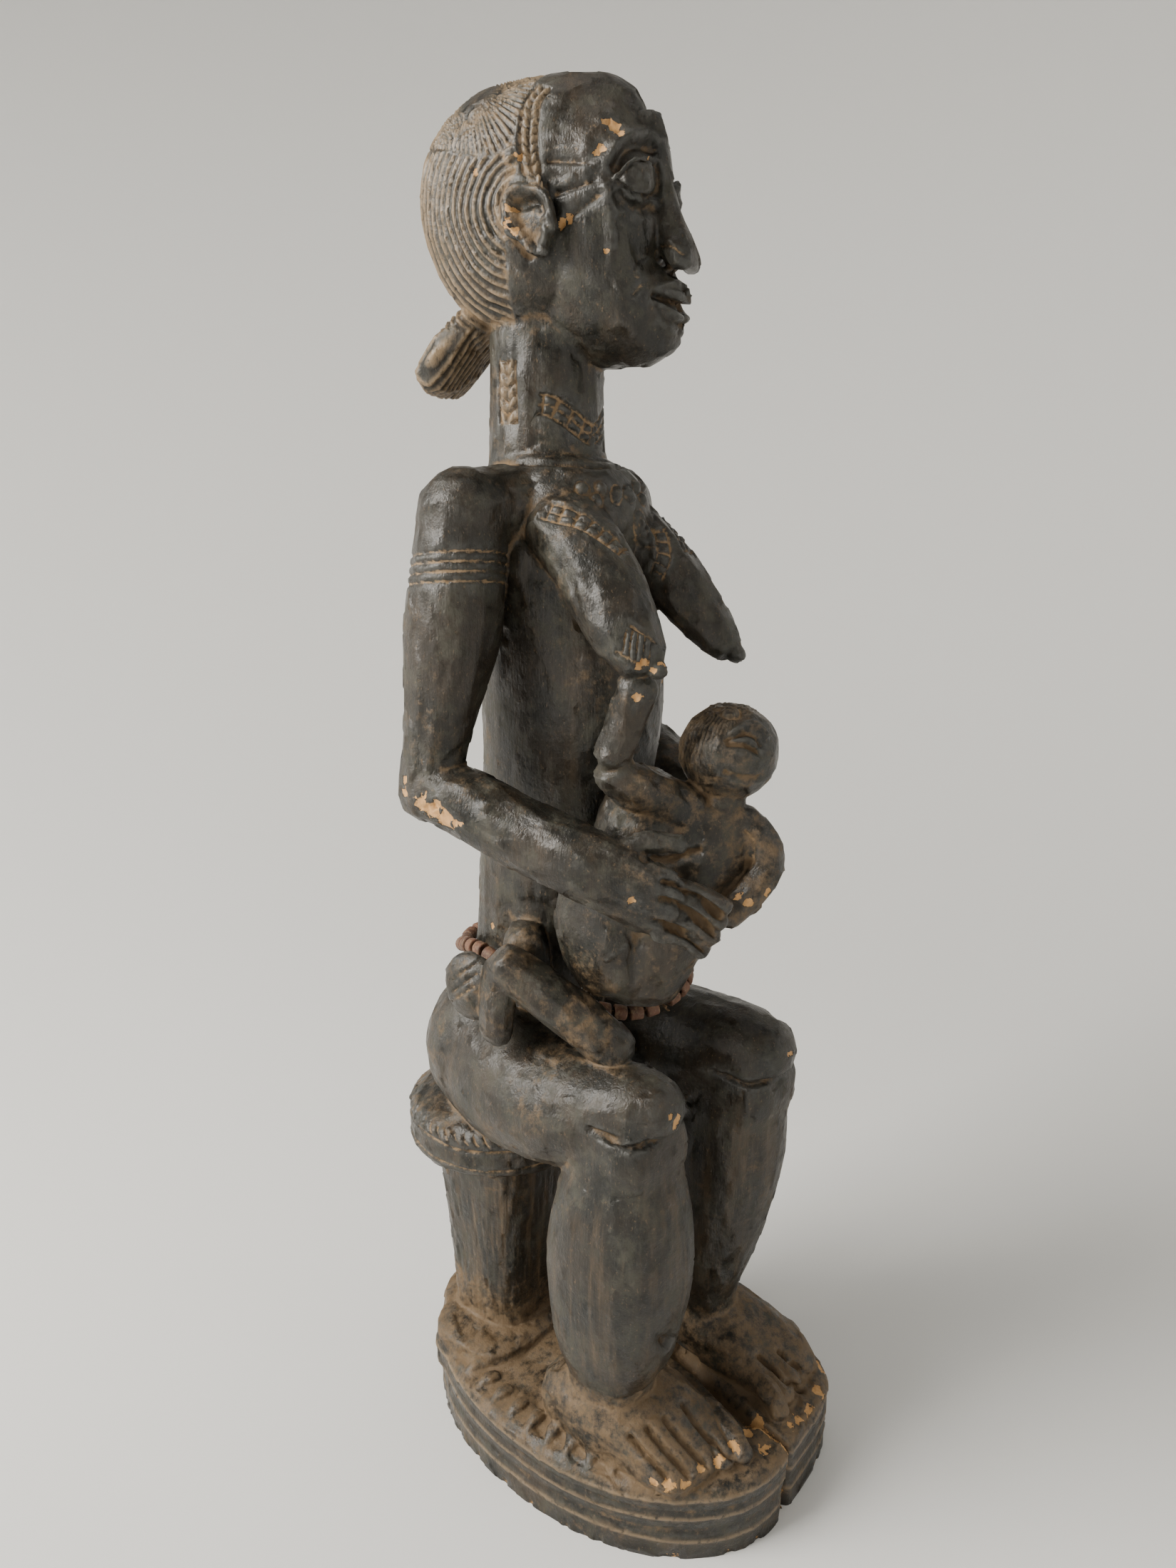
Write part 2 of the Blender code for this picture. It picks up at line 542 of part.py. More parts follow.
def make_string(collection, cutter_collection, material):
    """The string in the beads, with its knot and two cut ends, joined into one body."""
    length, at = strand_route()
    string = tube("bead_string", [at(length * k / STRING_POINTS) for k in range(STRING_POINTS)],
                  STRING_RADIUS, collection, cyclic=True)
    string.data.materials.append(material)
    middle = at(length * KNOT_PLACE)
    knot = ball(middle, (KNOT_RADIUS,) * 3, segments=8)
    knot.name = "string_knot"
    bpy.context.scene.collection.objects.unlink(knot)
    cutter_collection.objects.link(knot)
    tails = tube("string_tails", [middle + TAIL_ENDS[0], middle, middle + TAIL_ENDS[1]],
                 TAIL_RADIUS, cutter_collection, cyclic=False)
    boolean(string, knot, "UNION")
    boolean(string, tails, "UNION")


def carve_figure(collection):
    forms = (base_forms() + stool_forms() + leg_forms() + torso_forms() + arm_forms()
             + head_forms() + child_forms())
    return applied(fuse_figure(forms, collection))


def main():
    clear_scene()
    figure_collection = bpy.data.collections.new("african_maternity_figure")
    cutter_collection = bpy.data.collections.new("cutters")
    bpy.context.scene.collection.children.link(figure_collection)
    bpy.context.scene.collection.children.link(cutter_collection)
    figure = carve_figure(figure_collection)
    thin = figure.modifiers.new("thin", "DECIMATE")
    thin.ratio = FIGURE_TRIANGLES / sum(len(face.vertices) - 2 for face in figure.data.polygons)
    for cutter in make_cutters(cutter_collection):
        boolean(figure, cutter, "DIFFERENCE")
    figure.data.materials.append(make_material(*WOOD))
    make_beads(figure_collection, make_material(*CLAY))
    make_string(figure_collection, cutter_collection, make_material(*THREAD))


if __name__ == "__main__":
    main()
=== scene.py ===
"""The finish and the fine carving of a seated mother nursing a child, one block of blackened
wood with its stool and oval base, and the string of clay beads round her hips.

The carving repeats the forms of the solid with finer steps, fuses them into one skin, cuts the
relief into that skin and thins it out again. Lengths inside are in millimetres.
"""
import math

import bmesh
import bpy
import numpy as np
from bpy.props import FloatProperty, FloatVectorProperty, IntProperty, PointerProperty
from mathutils import Matrix, Vector
from mathutils.bvhtree import BVHTree


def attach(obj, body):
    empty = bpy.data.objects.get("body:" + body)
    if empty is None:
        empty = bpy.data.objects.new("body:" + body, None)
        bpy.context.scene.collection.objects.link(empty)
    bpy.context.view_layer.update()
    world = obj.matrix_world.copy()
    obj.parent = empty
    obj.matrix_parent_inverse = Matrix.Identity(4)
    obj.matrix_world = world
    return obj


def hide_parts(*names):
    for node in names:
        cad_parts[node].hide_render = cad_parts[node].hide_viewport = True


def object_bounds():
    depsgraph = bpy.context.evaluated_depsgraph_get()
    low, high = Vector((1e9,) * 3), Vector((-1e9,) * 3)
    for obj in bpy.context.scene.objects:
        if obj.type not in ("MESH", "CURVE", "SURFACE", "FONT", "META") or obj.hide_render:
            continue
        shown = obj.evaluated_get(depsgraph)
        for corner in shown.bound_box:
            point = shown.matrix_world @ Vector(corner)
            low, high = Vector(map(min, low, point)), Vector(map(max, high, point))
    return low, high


bl_info = {
    "name": "Carved Mother And Child",
    "version": (1, 0, 0),
    "blender": (4, 5, 0),
    "location": "View3D > Sidebar > Carving",
    "description": "Builds the fine carving, patina and waist beads of a seated mother and child",
    "category": "Object",
}

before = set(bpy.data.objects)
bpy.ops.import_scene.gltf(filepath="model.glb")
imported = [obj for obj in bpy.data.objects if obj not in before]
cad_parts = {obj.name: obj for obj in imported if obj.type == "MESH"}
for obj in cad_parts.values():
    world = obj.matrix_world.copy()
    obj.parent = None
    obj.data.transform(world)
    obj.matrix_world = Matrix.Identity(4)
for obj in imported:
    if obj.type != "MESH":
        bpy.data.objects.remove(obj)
CAD_LOW, CAD_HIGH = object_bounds()

MM = 0.001

# Driving sizes, in millimetres
BASE_HALF_WIDTH = 94.0
BASE_SHIFT = 4.0
BASE_FRONT = 129.0
BASE_BACK = 134.0
BASE_ROUNDNESS = 2.15
CORNER_SQUARENESS = 1.9
CORNER_ANGLE = -52.0
CORNER_SPREAD = 38.0
BASE_HEIGHT = 47.0
BASE_CROWN = 53.0
TOOTH_COUNT = 36
TOOTH_FIRST_ANGLE = -34.0
TOOTH_LAST_ANGLE = 214.0

STOOL_CENTRE = (-10.0, 89.0)
COLUMN_CENTRE = (-6.0, 84.0)
STOOL_RADIUS = 61.0
STOOL_UNDER = 186.0
STOOL_TOP = 219.0

SHOULDER_SPREAD = 66.0
SHOULDER_RADIUS = 25.0
NECK_CENTRE = (-1.5, 50.5)
NECK_RADIUS = 31.0

HEAD_AXIS = (0.0, 47.0)
HEAD_TURN = 17.0

# The string of beads: a closed route round the hips, through these places
STRAND_ROUTE = [(0, 114, 322), (-22, 107, 321), (-40, 88, 332), (-50, 62, 338), (-50, 34, 330),
                (-36, 5, 317), (-12, -20, 309), (14, -33, 315), (38, -23, 322), (56, 8, 326),
                (56, 50, 328), (38, 94, 324)]
BEAD_COUNT = 42
BEAD_RADIUS = 4.8
BEAD_HOLE_RADIUS = 1.5
BEAD_LENGTH_SHARE = 0.86
KNOT_PLACE = 0.49
KNOT_GAP = 5.0
TAIL_ENDS = [(-3.5, -5.5, 1.0), (-0.5, -5.5, -3.0)]
KNOT_POCKET = 8.5
CHANNEL_CLEARANCE = 0.7

# Sides of every carved limb
RING_SIDES = 44


def new_object(name, bm):
    """A scene object that takes over the bmesh."""
    mesh = bpy.data.meshes.new(name)
    bm.to_mesh(mesh)
    bm.free()
    obj = bpy.data.objects.new(name, mesh)
    bpy.context.scene.collection.objects.link(obj)
    return obj


def smooth_rows(rows, steps):
    """Catmull-Rom curve through the rows, each a tuple of numbers, with steps per span."""
    rows = np.array(rows, float)
    padded = np.vstack([2 * rows[0] - rows[1], rows, 2 * rows[-1] - rows[-2]])
    out = []
    for i in range(1, len(padded) - 2):
        p0, p1, p2, p3 = padded[i - 1:i + 3]
        for t in np.linspace(0, 1, steps, endpoint=False):
            out.append(0.5 * (2 * p1 + (p2 - p0) * t + (2 * p0 - 5 * p1 + 4 * p2 - p3) * t * t
                              + (3 * p1 - p0 - 3 * p2 + p3) * t ** 3))
    out.append(rows[-1])
    return np.array(out)


def limb(stations, side=(1, 0, 0), power=2.0, round_start=0.7, round_end=0.7, steps=4):
    """A closed carved form through stations of (x, y, z, half width, half thickness).

    side is the direction of the half width, power squares the section above 2, and the ends
    are domed by round_start and round_end times the half thickness there."""
    rows = smooth_rows(stations, steps)
    centres, halves = rows[:, :3], np.maximum(rows[:, 3:], 0.2)
    tangents = np.gradient(centres, axis=0)
    tangents /= np.linalg.norm(tangents, axis=1)[:, None]
    rings = []

    def ring(centre, tangent, half_a, half_b):
        axis_a = np.array(side, float) - tangent * np.dot(side, tangent)
        axis_a /= np.linalg.norm(axis_a)
        axis_b = np.cross(tangent, axis_a)
        points = []
        for k in range(RING_SIDES):
            angle = 2 * math.pi * k / RING_SIDES
            c, s = math.cos(angle), math.sin(angle)
            points.append(centre + axis_a * half_a * math.copysign(abs(c) ** (2 / power), c)
                          + axis_b * half_b * math.copysign(abs(s) ** (2 / power), s))
        return points

    for share in (0.97, 0.8, 0.5):
        shrink = math.sqrt(1 - share ** 2)
        rings.append(ring(centres[0] - tangents[0] * halves[0, 1] * round_start * share, tangents[0],
                          *(halves[0] * shrink)))
    for centre, tangent, half in zip(centres, tangents, halves):
        rings.append(ring(centre, tangent, *half))
    for share in (0.5, 0.8, 0.97):
        shrink = math.sqrt(1 - share ** 2)
        rings.append(ring(centres[-1] + tangents[-1] * halves[-1, 1] * round_end * share, tangents[-1],
                          *(halves[-1] * shrink)))
    bm = bmesh.new()
    verts = [[bm.verts.new(Vector(p) * MM) for p in points] for points in rings]
    for lower, upper in zip(verts, verts[1:]):
        for k in range(RING_SIDES):
            n = (k + 1) % RING_SIDES
            bm.faces.new((lower[k], lower[n], upper[n], upper[k]))
    bm.faces.new(list(reversed(verts[0])))
    bm.faces.new(verts[-1])
    bmesh.ops.recalc_face_normals(bm, faces=bm.faces)
    return new_object("form", bm)


def ball(centre, radii, turn=(0.0, 0.0, 0.0), segments=20):
    """An ellipsoid, turned by degrees about X, then Y, then Z."""
    bm = bmesh.new()
    bmesh.ops.create_uvsphere(bm, u_segments=segments, v_segments=segments * 3 // 5, radius=1.0)
    spin = (Matrix.Rotation(math.radians(turn[2]), 4, "Z") @ Matrix.Rotation(math.radians(turn[1]), 4, "Y")
            @ Matrix.Rotation(math.radians(turn[0]), 4, "X"))
    size = Matrix.Diagonal((radii[0] * MM, radii[1] * MM, radii[2] * MM, 1.0))
    bmesh.ops.transform(bm, matrix=Matrix.Translation(Vector(centre) * MM) @ spin @ size, verts=bm.verts)
    return new_object("form", bm)


def mirrored(stations, inward=0.0, back=0.0):
    """The same form on her other side, moved inward and back by so much."""
    return [(-x - inward, y + back, *rest) for x, y, *rest in stations]


def oval(angle, grow=0.0):
    """A point of the base's outline; angle 0 is her left, and the front is at -90 degrees.

    The outline is nearly an ellipse, and squarer at the corner in front of her left foot."""
    depth = BASE_BACK if math.sin(angle) > 0 else BASE_FRONT
    away = (math.degrees(angle) - CORNER_ANGLE + 180) % 360 - 180
    power = BASE_ROUNDNESS + CORNER_SQUARENESS * math.exp(-(away / CORNER_SPREAD) ** 2)
    c, s = math.cos(angle), math.sin(angle)
    reach = (abs(c) ** power + abs(s) ** power) ** (-1 / power)
    return BASE_SHIFT + (BASE_HALF_WIDTH + grow) * c * reach, (depth + grow) * s * reach


def base_forms():
    """The oval base: a foot band, two grooves and a low crown, as stacked ovals."""
    profile = [(0.0, -8.0), (0.0, 0.0), (0.0, 17.0), (-1.6, 19.0), (-1.6, 22.0), (0.2, 24.0),
               (0.2, 33.0), (-1.4, 35.0), (0.6, 37.0), (-0.5, BASE_HEIGHT - 2), (-3.0, BASE_HEIGHT),
               (-30.0, BASE_CROWN - 2), (-60.0, BASE_CROWN)]
    sides = 64
    bm = bmesh.new()
    rings = []
    for grow, z in profile:
        rings.append([bm.verts.new(Vector((*oval(2 * math.pi * k / sides, grow), z)) * MM)
                      for k in range(sides)])
    for lower, upper in zip(rings, rings[1:]):
        for k in range(sides):
            n = (k + 1) % sides
            bm.faces.new((lower[k], lower[n], upper[n], upper[k]))
    bm.faces.new(list(reversed(rings[0])))
    bm.faces.new(rings[-1])
    forms = [new_object("form", bm)]
    for k in range(TOOTH_COUNT):
        share = k / (TOOTH_COUNT - 1)
        angle = math.radians(TOOTH_FIRST_ANGLE + (TOOTH_LAST_ANGLE - TOOTH_FIRST_ANGLE) * share)
        inner, outer = oval(angle, -19.0), oval(angle, -6.0)
        middle = oval(angle, -13.0)
        along = math.radians(90) + math.atan2(outer[1] - inner[1], outer[0] - inner[0])
        forms.append(limb([(*inner, BASE_HEIGHT + 3.5, 3.8, 2.0), (*middle, BASE_HEIGHT + 3.5, 4.0, 3.2),
                           (*outer, BASE_HEIGHT + 0.5, 1.4, 2.2)],
                          side=(math.cos(along), math.sin(along), 0), power=3.0, steps=2))
    return forms


def stool_forms():
    """The round seat with its rim, the column and the low plinths it stands on."""
    x, y = STOOL_CENTRE
    column_x, column_y = COLUMN_CENTRE
    seat_middle = (STOOL_UNDER + STOOL_TOP) / 2
    half = (STOOL_TOP - STOOL_UNDER) / 2
    forms = [
        limb([(x, y, STOOL_UNDER, STOOL_RADIUS - 8, STOOL_RADIUS - 8),
              (x, y, STOOL_UNDER + 5, STOOL_RADIUS, STOOL_RADIUS),
              (x, y, seat_middle, STOOL_RADIUS - 1, STOOL_RADIUS - 1),
              (x, y, STOOL_TOP - 6, STOOL_RADIUS, STOOL_RADIUS),
              (x, y, STOOL_TOP, STOOL_RADIUS - 8, STOOL_RADIUS - 8)],
             round_start=0.02, round_end=half / STOOL_RADIUS / 2, steps=3),
        limb([(column_x, column_y, 50, 38, 31), (column_x, column_y, 110, 41, 34),
              (column_x, column_y, 190, 47, 40)], power=3.2, round_start=0.1, round_end=0.1),
        limb([(0, 78, 30, 70, 38), (0, 78, 58, 68, 37)], power=3.6, round_start=0.1, round_end=0.1),
        limb([(0, 100, 30, 50, 34), (0, 100, 58, 48, 31)], power=2.4, round_start=0.1, round_end=0.1),
    ]
    return forms


def leg_forms():
    """Thighs resting on the stool, heavy shins, and feet with five toes."""
    right_thigh = [(-31, 80, 259, 35, 47), (-40, 50, 257, 37, 45), (-48, 10, 258, 36, 38),
                   (-49, -24, 265, 32, 32), (-48, -52, 276, 25, 23), (-47, -66, 280, 19, 16)]
    left_thigh = [(33, 80, 259, 35, 47), (42, 50, 257, 37, 45), (49, 10, 258, 36, 40),
                  (52, -30, 264, 33, 35), (53, -64, 273, 27, 26), (54, -78, 277, 20, 17)]
    right_shin = [(-49, -40, 268, 27, 26), (-48, -42, 240, 31, 32), (-49, -42, 205, 36, 40),
                  (-49, -40, 165, 37, 43), (-50, -38, 120, 32, 36), (-49, -36, 96, 25, 27),
                  (-48, -35, 70, 23, 25)]
    left_shin = [(53, -54, 262, 28, 26), (53, -54, 235, 32, 30), (53, -50, 200, 34, 34),
                 (50, -45, 160, 31, 33), (46, -40, 120, 26, 28), (45, -38, 96, 21, 23),
                 (45, -38, 70, 20, 22)]
    right_foot = [(-47, -4, 60, 25, 20), (-47, -32, 66, 31, 28), (-42, -60, 62, 32, 23),
                  (-42, -84, 55, 31, 14), (-45, -97, 50, 27, 8)]
    left_foot = [(46, -2, 60, 22, 19), (47, -26, 65, 27, 26), (51, -58, 61, 30, 23),
                 (52, -88, 55, 30, 14), (49, -103, 50, 27, 8)]
    forms = [
        limb(right_thigh), limb(left_thigh),
        limb(right_shin, power=2.3), limb(left_shin, power=2.3),
        ball((-31, 78, 262), (38, 43, 49)), ball((33, 78, 262), (38, 43, 49)),
        limb([(-49, -41, 266, 28, 27), (-49, -44, 250, 29, 30), (-49, -44, 238, 27, 28)],
             power=4.0, round_start=0.1, round_end=0.3),
        limb([(54, -53, 262, 28, 27), (54, -56, 246, 30, 29), (53, -54, 232, 28, 27)],
             power=4.0, round_start=0.1, round_end=0.3),
        limb(right_foot, power=2.8), limb(left_foot, power=2.8),
    ]
    # each foot: where its big and its little toe begin and end
    for big_root, little_root, big_tip, little_tip in (
            ((-9, -78), (-55, -56), (-21, -118), (-65, -93)),
            ((30, -86), (80, -82), (20, -119), (70, -108))):
        for toe in range(5):
            share = toe / 4
            x0, y0 = (a + (b - a) * share for a, b in zip(big_root, little_root))
            x1, y1 = (a + (b - a) * share for a, b in zip(big_tip, little_tip))
            half = 6.4 - 1.2 * share
            forms.append(limb([(x0, y0, 60, half, 6), ((x0 + x1) / 2, (y0 + y1) / 2, 58, half, 7),
                               (x1, y1 + 5, 53, half, 6)], steps=3))
    return forms


def torso_forms():
    """Trunk, shoulders and breasts."""
    body = [(0, 66, 268, 46, 42), (0, 63, 300, 42, 40), (0, 58, 330, 41, 41), (0, 52, 365, 41, 45),
            (0, 45, 405, 42, 48), (0, 38, 450, 44, 52), (0, 35, 495, 45, 55), (0, 38, 535, 48, 50),
            (0, 42, 565, 52, 44), (-1, 37, 588, 50, 42), (-1, 43, 603, 42, 36), (0, 47, 612, 38, 26)]
    forms = [
        limb(body, power=2.2, round_end=0.3),
        limb([(-SHOULDER_SPREAD, 50, 593, 24, 22), (-32, 48, 596, 26, 22), (0, 46, 598, 30, 21),
              (30, 50, 596, 25, 22), (SHOULDER_SPREAD - 5, 54, 593, 24, 22)], side=(0, 1, 0)),
        ball((-SHOULDER_SPREAD - 2, 50, 592), (SHOULDER_RADIUS,) * 3),
        ball((SHOULDER_SPREAD - 4, 55, 592), (SHOULDER_RADIUS,) * 3),
    ]
    right_breast = [(-30, 14, 586, 24, 20), (-33, -3, 573, 24, 20), (-38, -21, 554, 22, 20),
                    (-42, -36, 536, 19, 17), (-43, -46, 525, 15, 13)]
    left_breast = [(26, 16, 582, 22, 18), (29, -2, 567, 21, 18), (32, -20, 549, 18, 16),
                   (35, -36, 531, 14, 13), (36, -46, 521, 10, 9)]
    forms += [limb(right_breast), limb(left_breast),
              ball((-43, -56, 520), (5, 6, 5)), ball((37, -52, 517), (5, 6, 5))]
    return forms


def arm_forms():
    """Arms clear of the flanks; the hands hold the child, and the left one is behind it."""
    upper = [(-SHOULDER_SPREAD - 4, 50, 585, 23, 24), (-74, 51, 556, 25, 26), (-77, 53, 530, 25, 26),
             (-82, 56, 500, 20, 22), (-87, 58, 472, 17, 18), (-90, 59, 450, 17, 18)]
    right_fore = [(-91, 58, 449, 17, 16), (-87, 34, 444, 18, 18), (-80, 2, 432, 18, 19),
                  (-73, -32, 422, 17, 19), (-64, -52, 412, 13, 20), (-55, -66, 403, 9, 22)]
    left_fore = [(86, 64, 449, 17, 16), (80, 38, 442, 18, 18), (69, 8, 430, 18, 18),
                 (56, -20, 418, 16, 17), (42, -42, 408, 12, 18), (26, -56, 401, 9, 17)]
    forms = [limb(upper), limb(mirrored(upper, inward=5.0, back=5.0)),
             limb(right_fore, power=2.2), limb(left_fore, power=2.2),
             ball((-93, 60, 446), (14, 16, 15)), ball((88, 65, 446), (14, 16, 15))]
    for finger in range(4):
        lift = 10.5 - finger * 9.5
        reach = (0.95, 0.9, 0.8, 0.65)[finger]
        forms.append(limb([(-54, -66, 404 + lift, 5, 4.6),
                           (-54 + 14 * reach, -67 - 16 * reach, 399 + lift * 0.85, 5.5, 4.5),
                           (-54 + 26 * reach, -67 - 27 * reach, 390 + lift * 0.85, 5, 4.3)],
                          power=2.8, steps=3))
    forms.append(limb([(-66, -46, 428, 6, 6), (-54, -60, 434, 5.5, 5.5), (-42, -72, 432, 5, 5)], steps=3))
    return forms


def head_local(s, h, z):
    """A place on her head: s forward, h to her right, from the head's axis at height z."""
    turn = math.radians(HEAD_TURN)
    forward = Vector((math.sin(turn), -math.cos(turn), 0))
    right = Vector((-math.cos(turn), -math.sin(turn), 0))
    return tuple(Vector((*HEAD_AXIS, z)) + forward * s + right * h)


def head_limb(stations, **options):
    """A limb in head coordinates: stations of (s, h, z, half width, half thickness)."""
    turn = math.radians(HEAD_TURN)
    rows = [(*head_local(s, h, z), a, b) for s, h, z, a, b in stations]
    return limb(rows, side=(math.cos(turn), math.sin(turn), 0), **options)


def head_stack(rows, power):
    """Level oval slices of the head: rows of (height, middle, half depth, half width)."""
    rows = smooth_rows(rows, 3)
    bm = bmesh.new()
    rings = []
    for z, middle, deep, wide in rows:
        ring = []
        for k in range(RING_SIDES * 2):
            angle = math.pi * k / RING_SIDES
            c, s = math.cos(angle), math.sin(angle)
            ring.append(bm.verts.new(Vector(head_local(
                middle + deep * math.copysign(abs(c) ** (2 / power), c),
                wide * math.copysign(abs(s) ** (2 / power), s), z)) * MM))
        rings.append(ring)
    for lower, upper in zip(rings, rings[1:]):
        for k in range(len(lower)):
            n = (k + 1) % len(lower)
            bm.faces.new((lower[k], lower[n], upper[n], upper[k]))
    bm.faces.new(rings[0])
    bm.faces.new(rings[-1])
    bmesh.ops.recalc_face_normals(bm, faces=bm.faces)
    return new_object("form", bm)


def head_ball(s, h, z, radii):
    """A ball placed in head coordinates."""
    return ball(head_local(s, h, z), radii, (0, 0, HEAD_TURN))


def head_forms():
    """Skull, face, neck, ears and bun, all turned with the head."""
    # rows: height, middle, half depth, half width
    crown = [(685, -6, 20, 16), (691, -8, 35, 32), (700, -8, 44, 40), (710, -9, 51, 44), (722, -10, 56, 46.5),
             (738, -11, 60, 48), (758, -11, 61, 47), (774, -8.5, 59, 43.5), (786, -4.5, 55, 38),
             (795, -1, 48, 31),
             (801, 1.5, 39, 22.5), (804.5, 4, 26, 12), (805.5, 6, 8, 4)]
    face = [(667, 40, 14, 8), (673, 37, 26, 18), (682, 34, 31, 26), (692, 31, 34.5, 32), (704, 28, 35, 37),
            (718, 25, 35, 40.5), (735, 24, 36, 42), (755, 24, 36, 42), (768, 22, 36, 40), (779, 18, 35, 36),
            (787, 14, 31, 30), (793, 10, 24, 22), (796, 8, 12, 11)]
    forms = [
        head_stack(crown, power=2.1), head_stack(face, power=2.8),
        limb([(*NECK_CENTRE, 600, 34, 34), (*NECK_CENTRE, 625, NECK_RADIUS + 1, NECK_RADIUS + 1),
              (*NECK_CENTRE, 660, NECK_RADIUS, NECK_RADIUS), (*NECK_CENTRE, 705, 30, 30)],
             side=(1, 0, 0), round_start=0.1, round_end=0.1),
        head_limb([(52, 0, 780, 10, 9), (57, 0, 764, 9, 8), (59, 0, 750, 8, 8), (63.5, 0, 735, 9, 9),
                   (69, 0, 723, 13, 8.5), (73, 0, 716, 16, 7.5), (73.5, 0, 712.5, 16, 6)], steps=3, power=1.7,
                  round_end=0.1),
        head_limb([(56, 0, 705, 20, 14), (58, 0, 694, 20, 14), (54, 0, 682, 16, 13)], steps=3, power=2.4),
        head_limb([(60, -19, 699, 3, 5), (69, -9, 699, 4, 6), (71, 0, 700, 5, 6), (69, 9, 699, 4, 6),
                   (60, 19, 699, 3, 5)], steps=3),
        head_limb([(60, -17, 688, 3, 5), (68, -9, 688, 4, 6), (70, 0, 688, 5, 6), (68, 9, 688, 4, 6),
                   (60, 17, 688, 3, 5)], steps=3),
        head_ball(59, 0, 679, (13, 12, 9)),
    ]
    for flip in (1, -1):
        forms += [
            head_ball(52, 27 * flip, 748, (11, 12, 9)),
            head_limb([(50, 38 * flip, 749, 2.5, 2), (57, 33 * flip, 756, 2.5, 2),
                       (61, 24 * flip, 757, 2.5, 2), (60, 15 * flip, 750, 2, 2)], steps=3),
            head_limb([(7, 47.5 * flip, 747, 4.5, 11), (8, 50.5 * flip, 738, 5, 15.5),
                       (12, 50 * flip, 727, 5, 13), (14, 47 * flip, 717, 4, 5)], steps=3, power=2.6),
        ]
    forms.append(head_limb([(-36, 0, 695, 24, 10), (-50, 0, 684, 25, 11), (-61, 0, 672, 25, 12),
                            (-69, 0, 662, 23, 11)], power=2.6))
    return forms


def child_forms():
    """The child lies across her lap: legs to her right hip, head on her left arm."""
    return [
        ball((10, -66, 470), (27, 27, 26)),
        limb([(5, -68, 448, 11, 11), (2, -66, 432, 13, 13)], steps=3),
        limb([(-2, -62, 434, 25, 15), (-5, -60, 420, 29, 18), (-9, -55, 400, 27, 19), (-13, -48, 378, 24, 20),
              (-17, -40, 356, 24, 20), (-20, -32, 338, 24, 19)], side=(0.75, -0.66, 0)),
        limb([(-12, -54, 440, 14, 14), (-32, -42, 452, 13, 13), (-46, -30, 466, 11, 11),
              (-45, -36, 486, 10, 10), (-42, -44, 510, 11, 11)], side=(0, 0, 1), steps=3),
        limb([(10, -75, 432, 11, 11), (15, -85, 420, 11, 11), (14, -90, 408, 10, 10),
              (2, -88, 396, 9, 9), (-12, -83, 386, 8, 8)], side=(0, 0, 1), steps=3),
        ball((-20, -33, 412), (32, 28, 50)),
        limb([(-26, -16, 392, 25, 26), (-27, -14, 366, 26, 27), (-22, -20, 344, 25, 22)], power=3.4),
        # hip block, near thigh and shin, far knee, and the foot spread on her hip
        ball((-15, -27, 338), (27, 20, 20), (0, 0, -50)),
        limb([(-41, -31, 301, 13, 13), (-50, -17, 315, 14, 14), (-62, 4, 333, 13.5, 13.5),
              (-72, 24, 349, 12, 12)], side=(0, 0, 1), steps=3),
        limb([(-72, 27, 345, 9, 11), (-75, 28, 325, 9, 11), (-74, 31, 305, 8, 10)], steps=3),
        limb([(-38, 38, 330, 13, 13), (-44, 34, 346, 13, 13), (-46, 33, 356, 11, 11)],
             side=(0.63, -0.78, 0), power=3.2, round_end=0.5),
        ball((-73, 50, 328), (9, 19, 21), (0, 0, 8)),
    ]


def strand_route():
    """The length of the beads' closed route, and a function giving the place at a distance on it."""
    rows = np.array(STRAND_ROUTE, float)
    curve = []
    for i in range(len(rows)):
        p0, p1, p2, p3 = (rows[(i + k - 1) % len(rows)] for k in range(4))
        for t in np.linspace(0, 1, 16, endpoint=False):
            curve.append(0.5 * (2 * p1 + (p2 - p0) * t + (2 * p0 - 5 * p1 + 4 * p2 - p3) * t * t
                                + (3 * p1 - p0 - 3 * p2 + p3) * t ** 3))
    curve = np.array(curve + curve[:1])
    along = np.concatenate([[0], np.cumsum(np.linalg.norm(np.diff(curve, axis=0), axis=1))])

    def at(distance):
        return np.array([np.interp(distance % along[-1], along, curve[:, k]) for k in range(3)])

    return along[-1], at


# Where the photograph's camera stands, in metres and degrees, and its picture in pixels
CAMERA_PLACE = (-0.495, -0.378, 0.62)
CAMERA_BEARING = 51.0
CAMERA_DIP = 15.98
CAMERA_LENS = 26.0
CAMERA_SENSOR = 36.0
PICTURE = (1650, 2200)


def sight(u, v):
    """The direction in which the camera sees a pixel of the photograph."""
    focal = CAMERA_LENS / CAMERA_SENSOR * PICTURE[1]
    across, down = u - PICTURE[0] / 2, v - PICTURE[1] / 2
    dip, bearing = math.radians(CAMERA_DIP), math.radians(CAMERA_BEARING)
    ahead = focal * math.cos(dip) - down * math.sin(dip)
    fall = focal * math.sin(dip) + down * math.cos(dip)
    return Vector((across * math.cos(bearing) + ahead * math.sin(bearing),
                   -across * math.sin(bearing) + ahead * math.cos(bearing), -fall)).normalized()


def applied(obj):
    """Replaces an object's mesh by the evaluated one and drops its modifiers."""
    depsgraph = bpy.context.evaluated_depsgraph_get()
    mesh = bpy.data.meshes.new_from_object(obj.evaluated_get(depsgraph))
    obj.modifiers.clear()
    obj.data = mesh
    return obj


def fuse(forms, voxel):
    """Joins the carved forms into one closed skin and softens it."""
    bm = bmesh.new()
    for form in forms:
        bm.from_mesh(form.data)
    for form in forms:
        bpy.data.objects.remove(form, do_unlink=True)
    figure = new_object("figure_carving", bm)
    remesh = figure.modifiers.new("one_skin", "REMESH")
    remesh.mode = "VOXEL"
    remesh.voxel_size = voxel
    soften = figure.modifiers.new("soften", "SMOOTH")
    soften.factor = 0.5
    soften.iterations = 5
    return applied(figure)


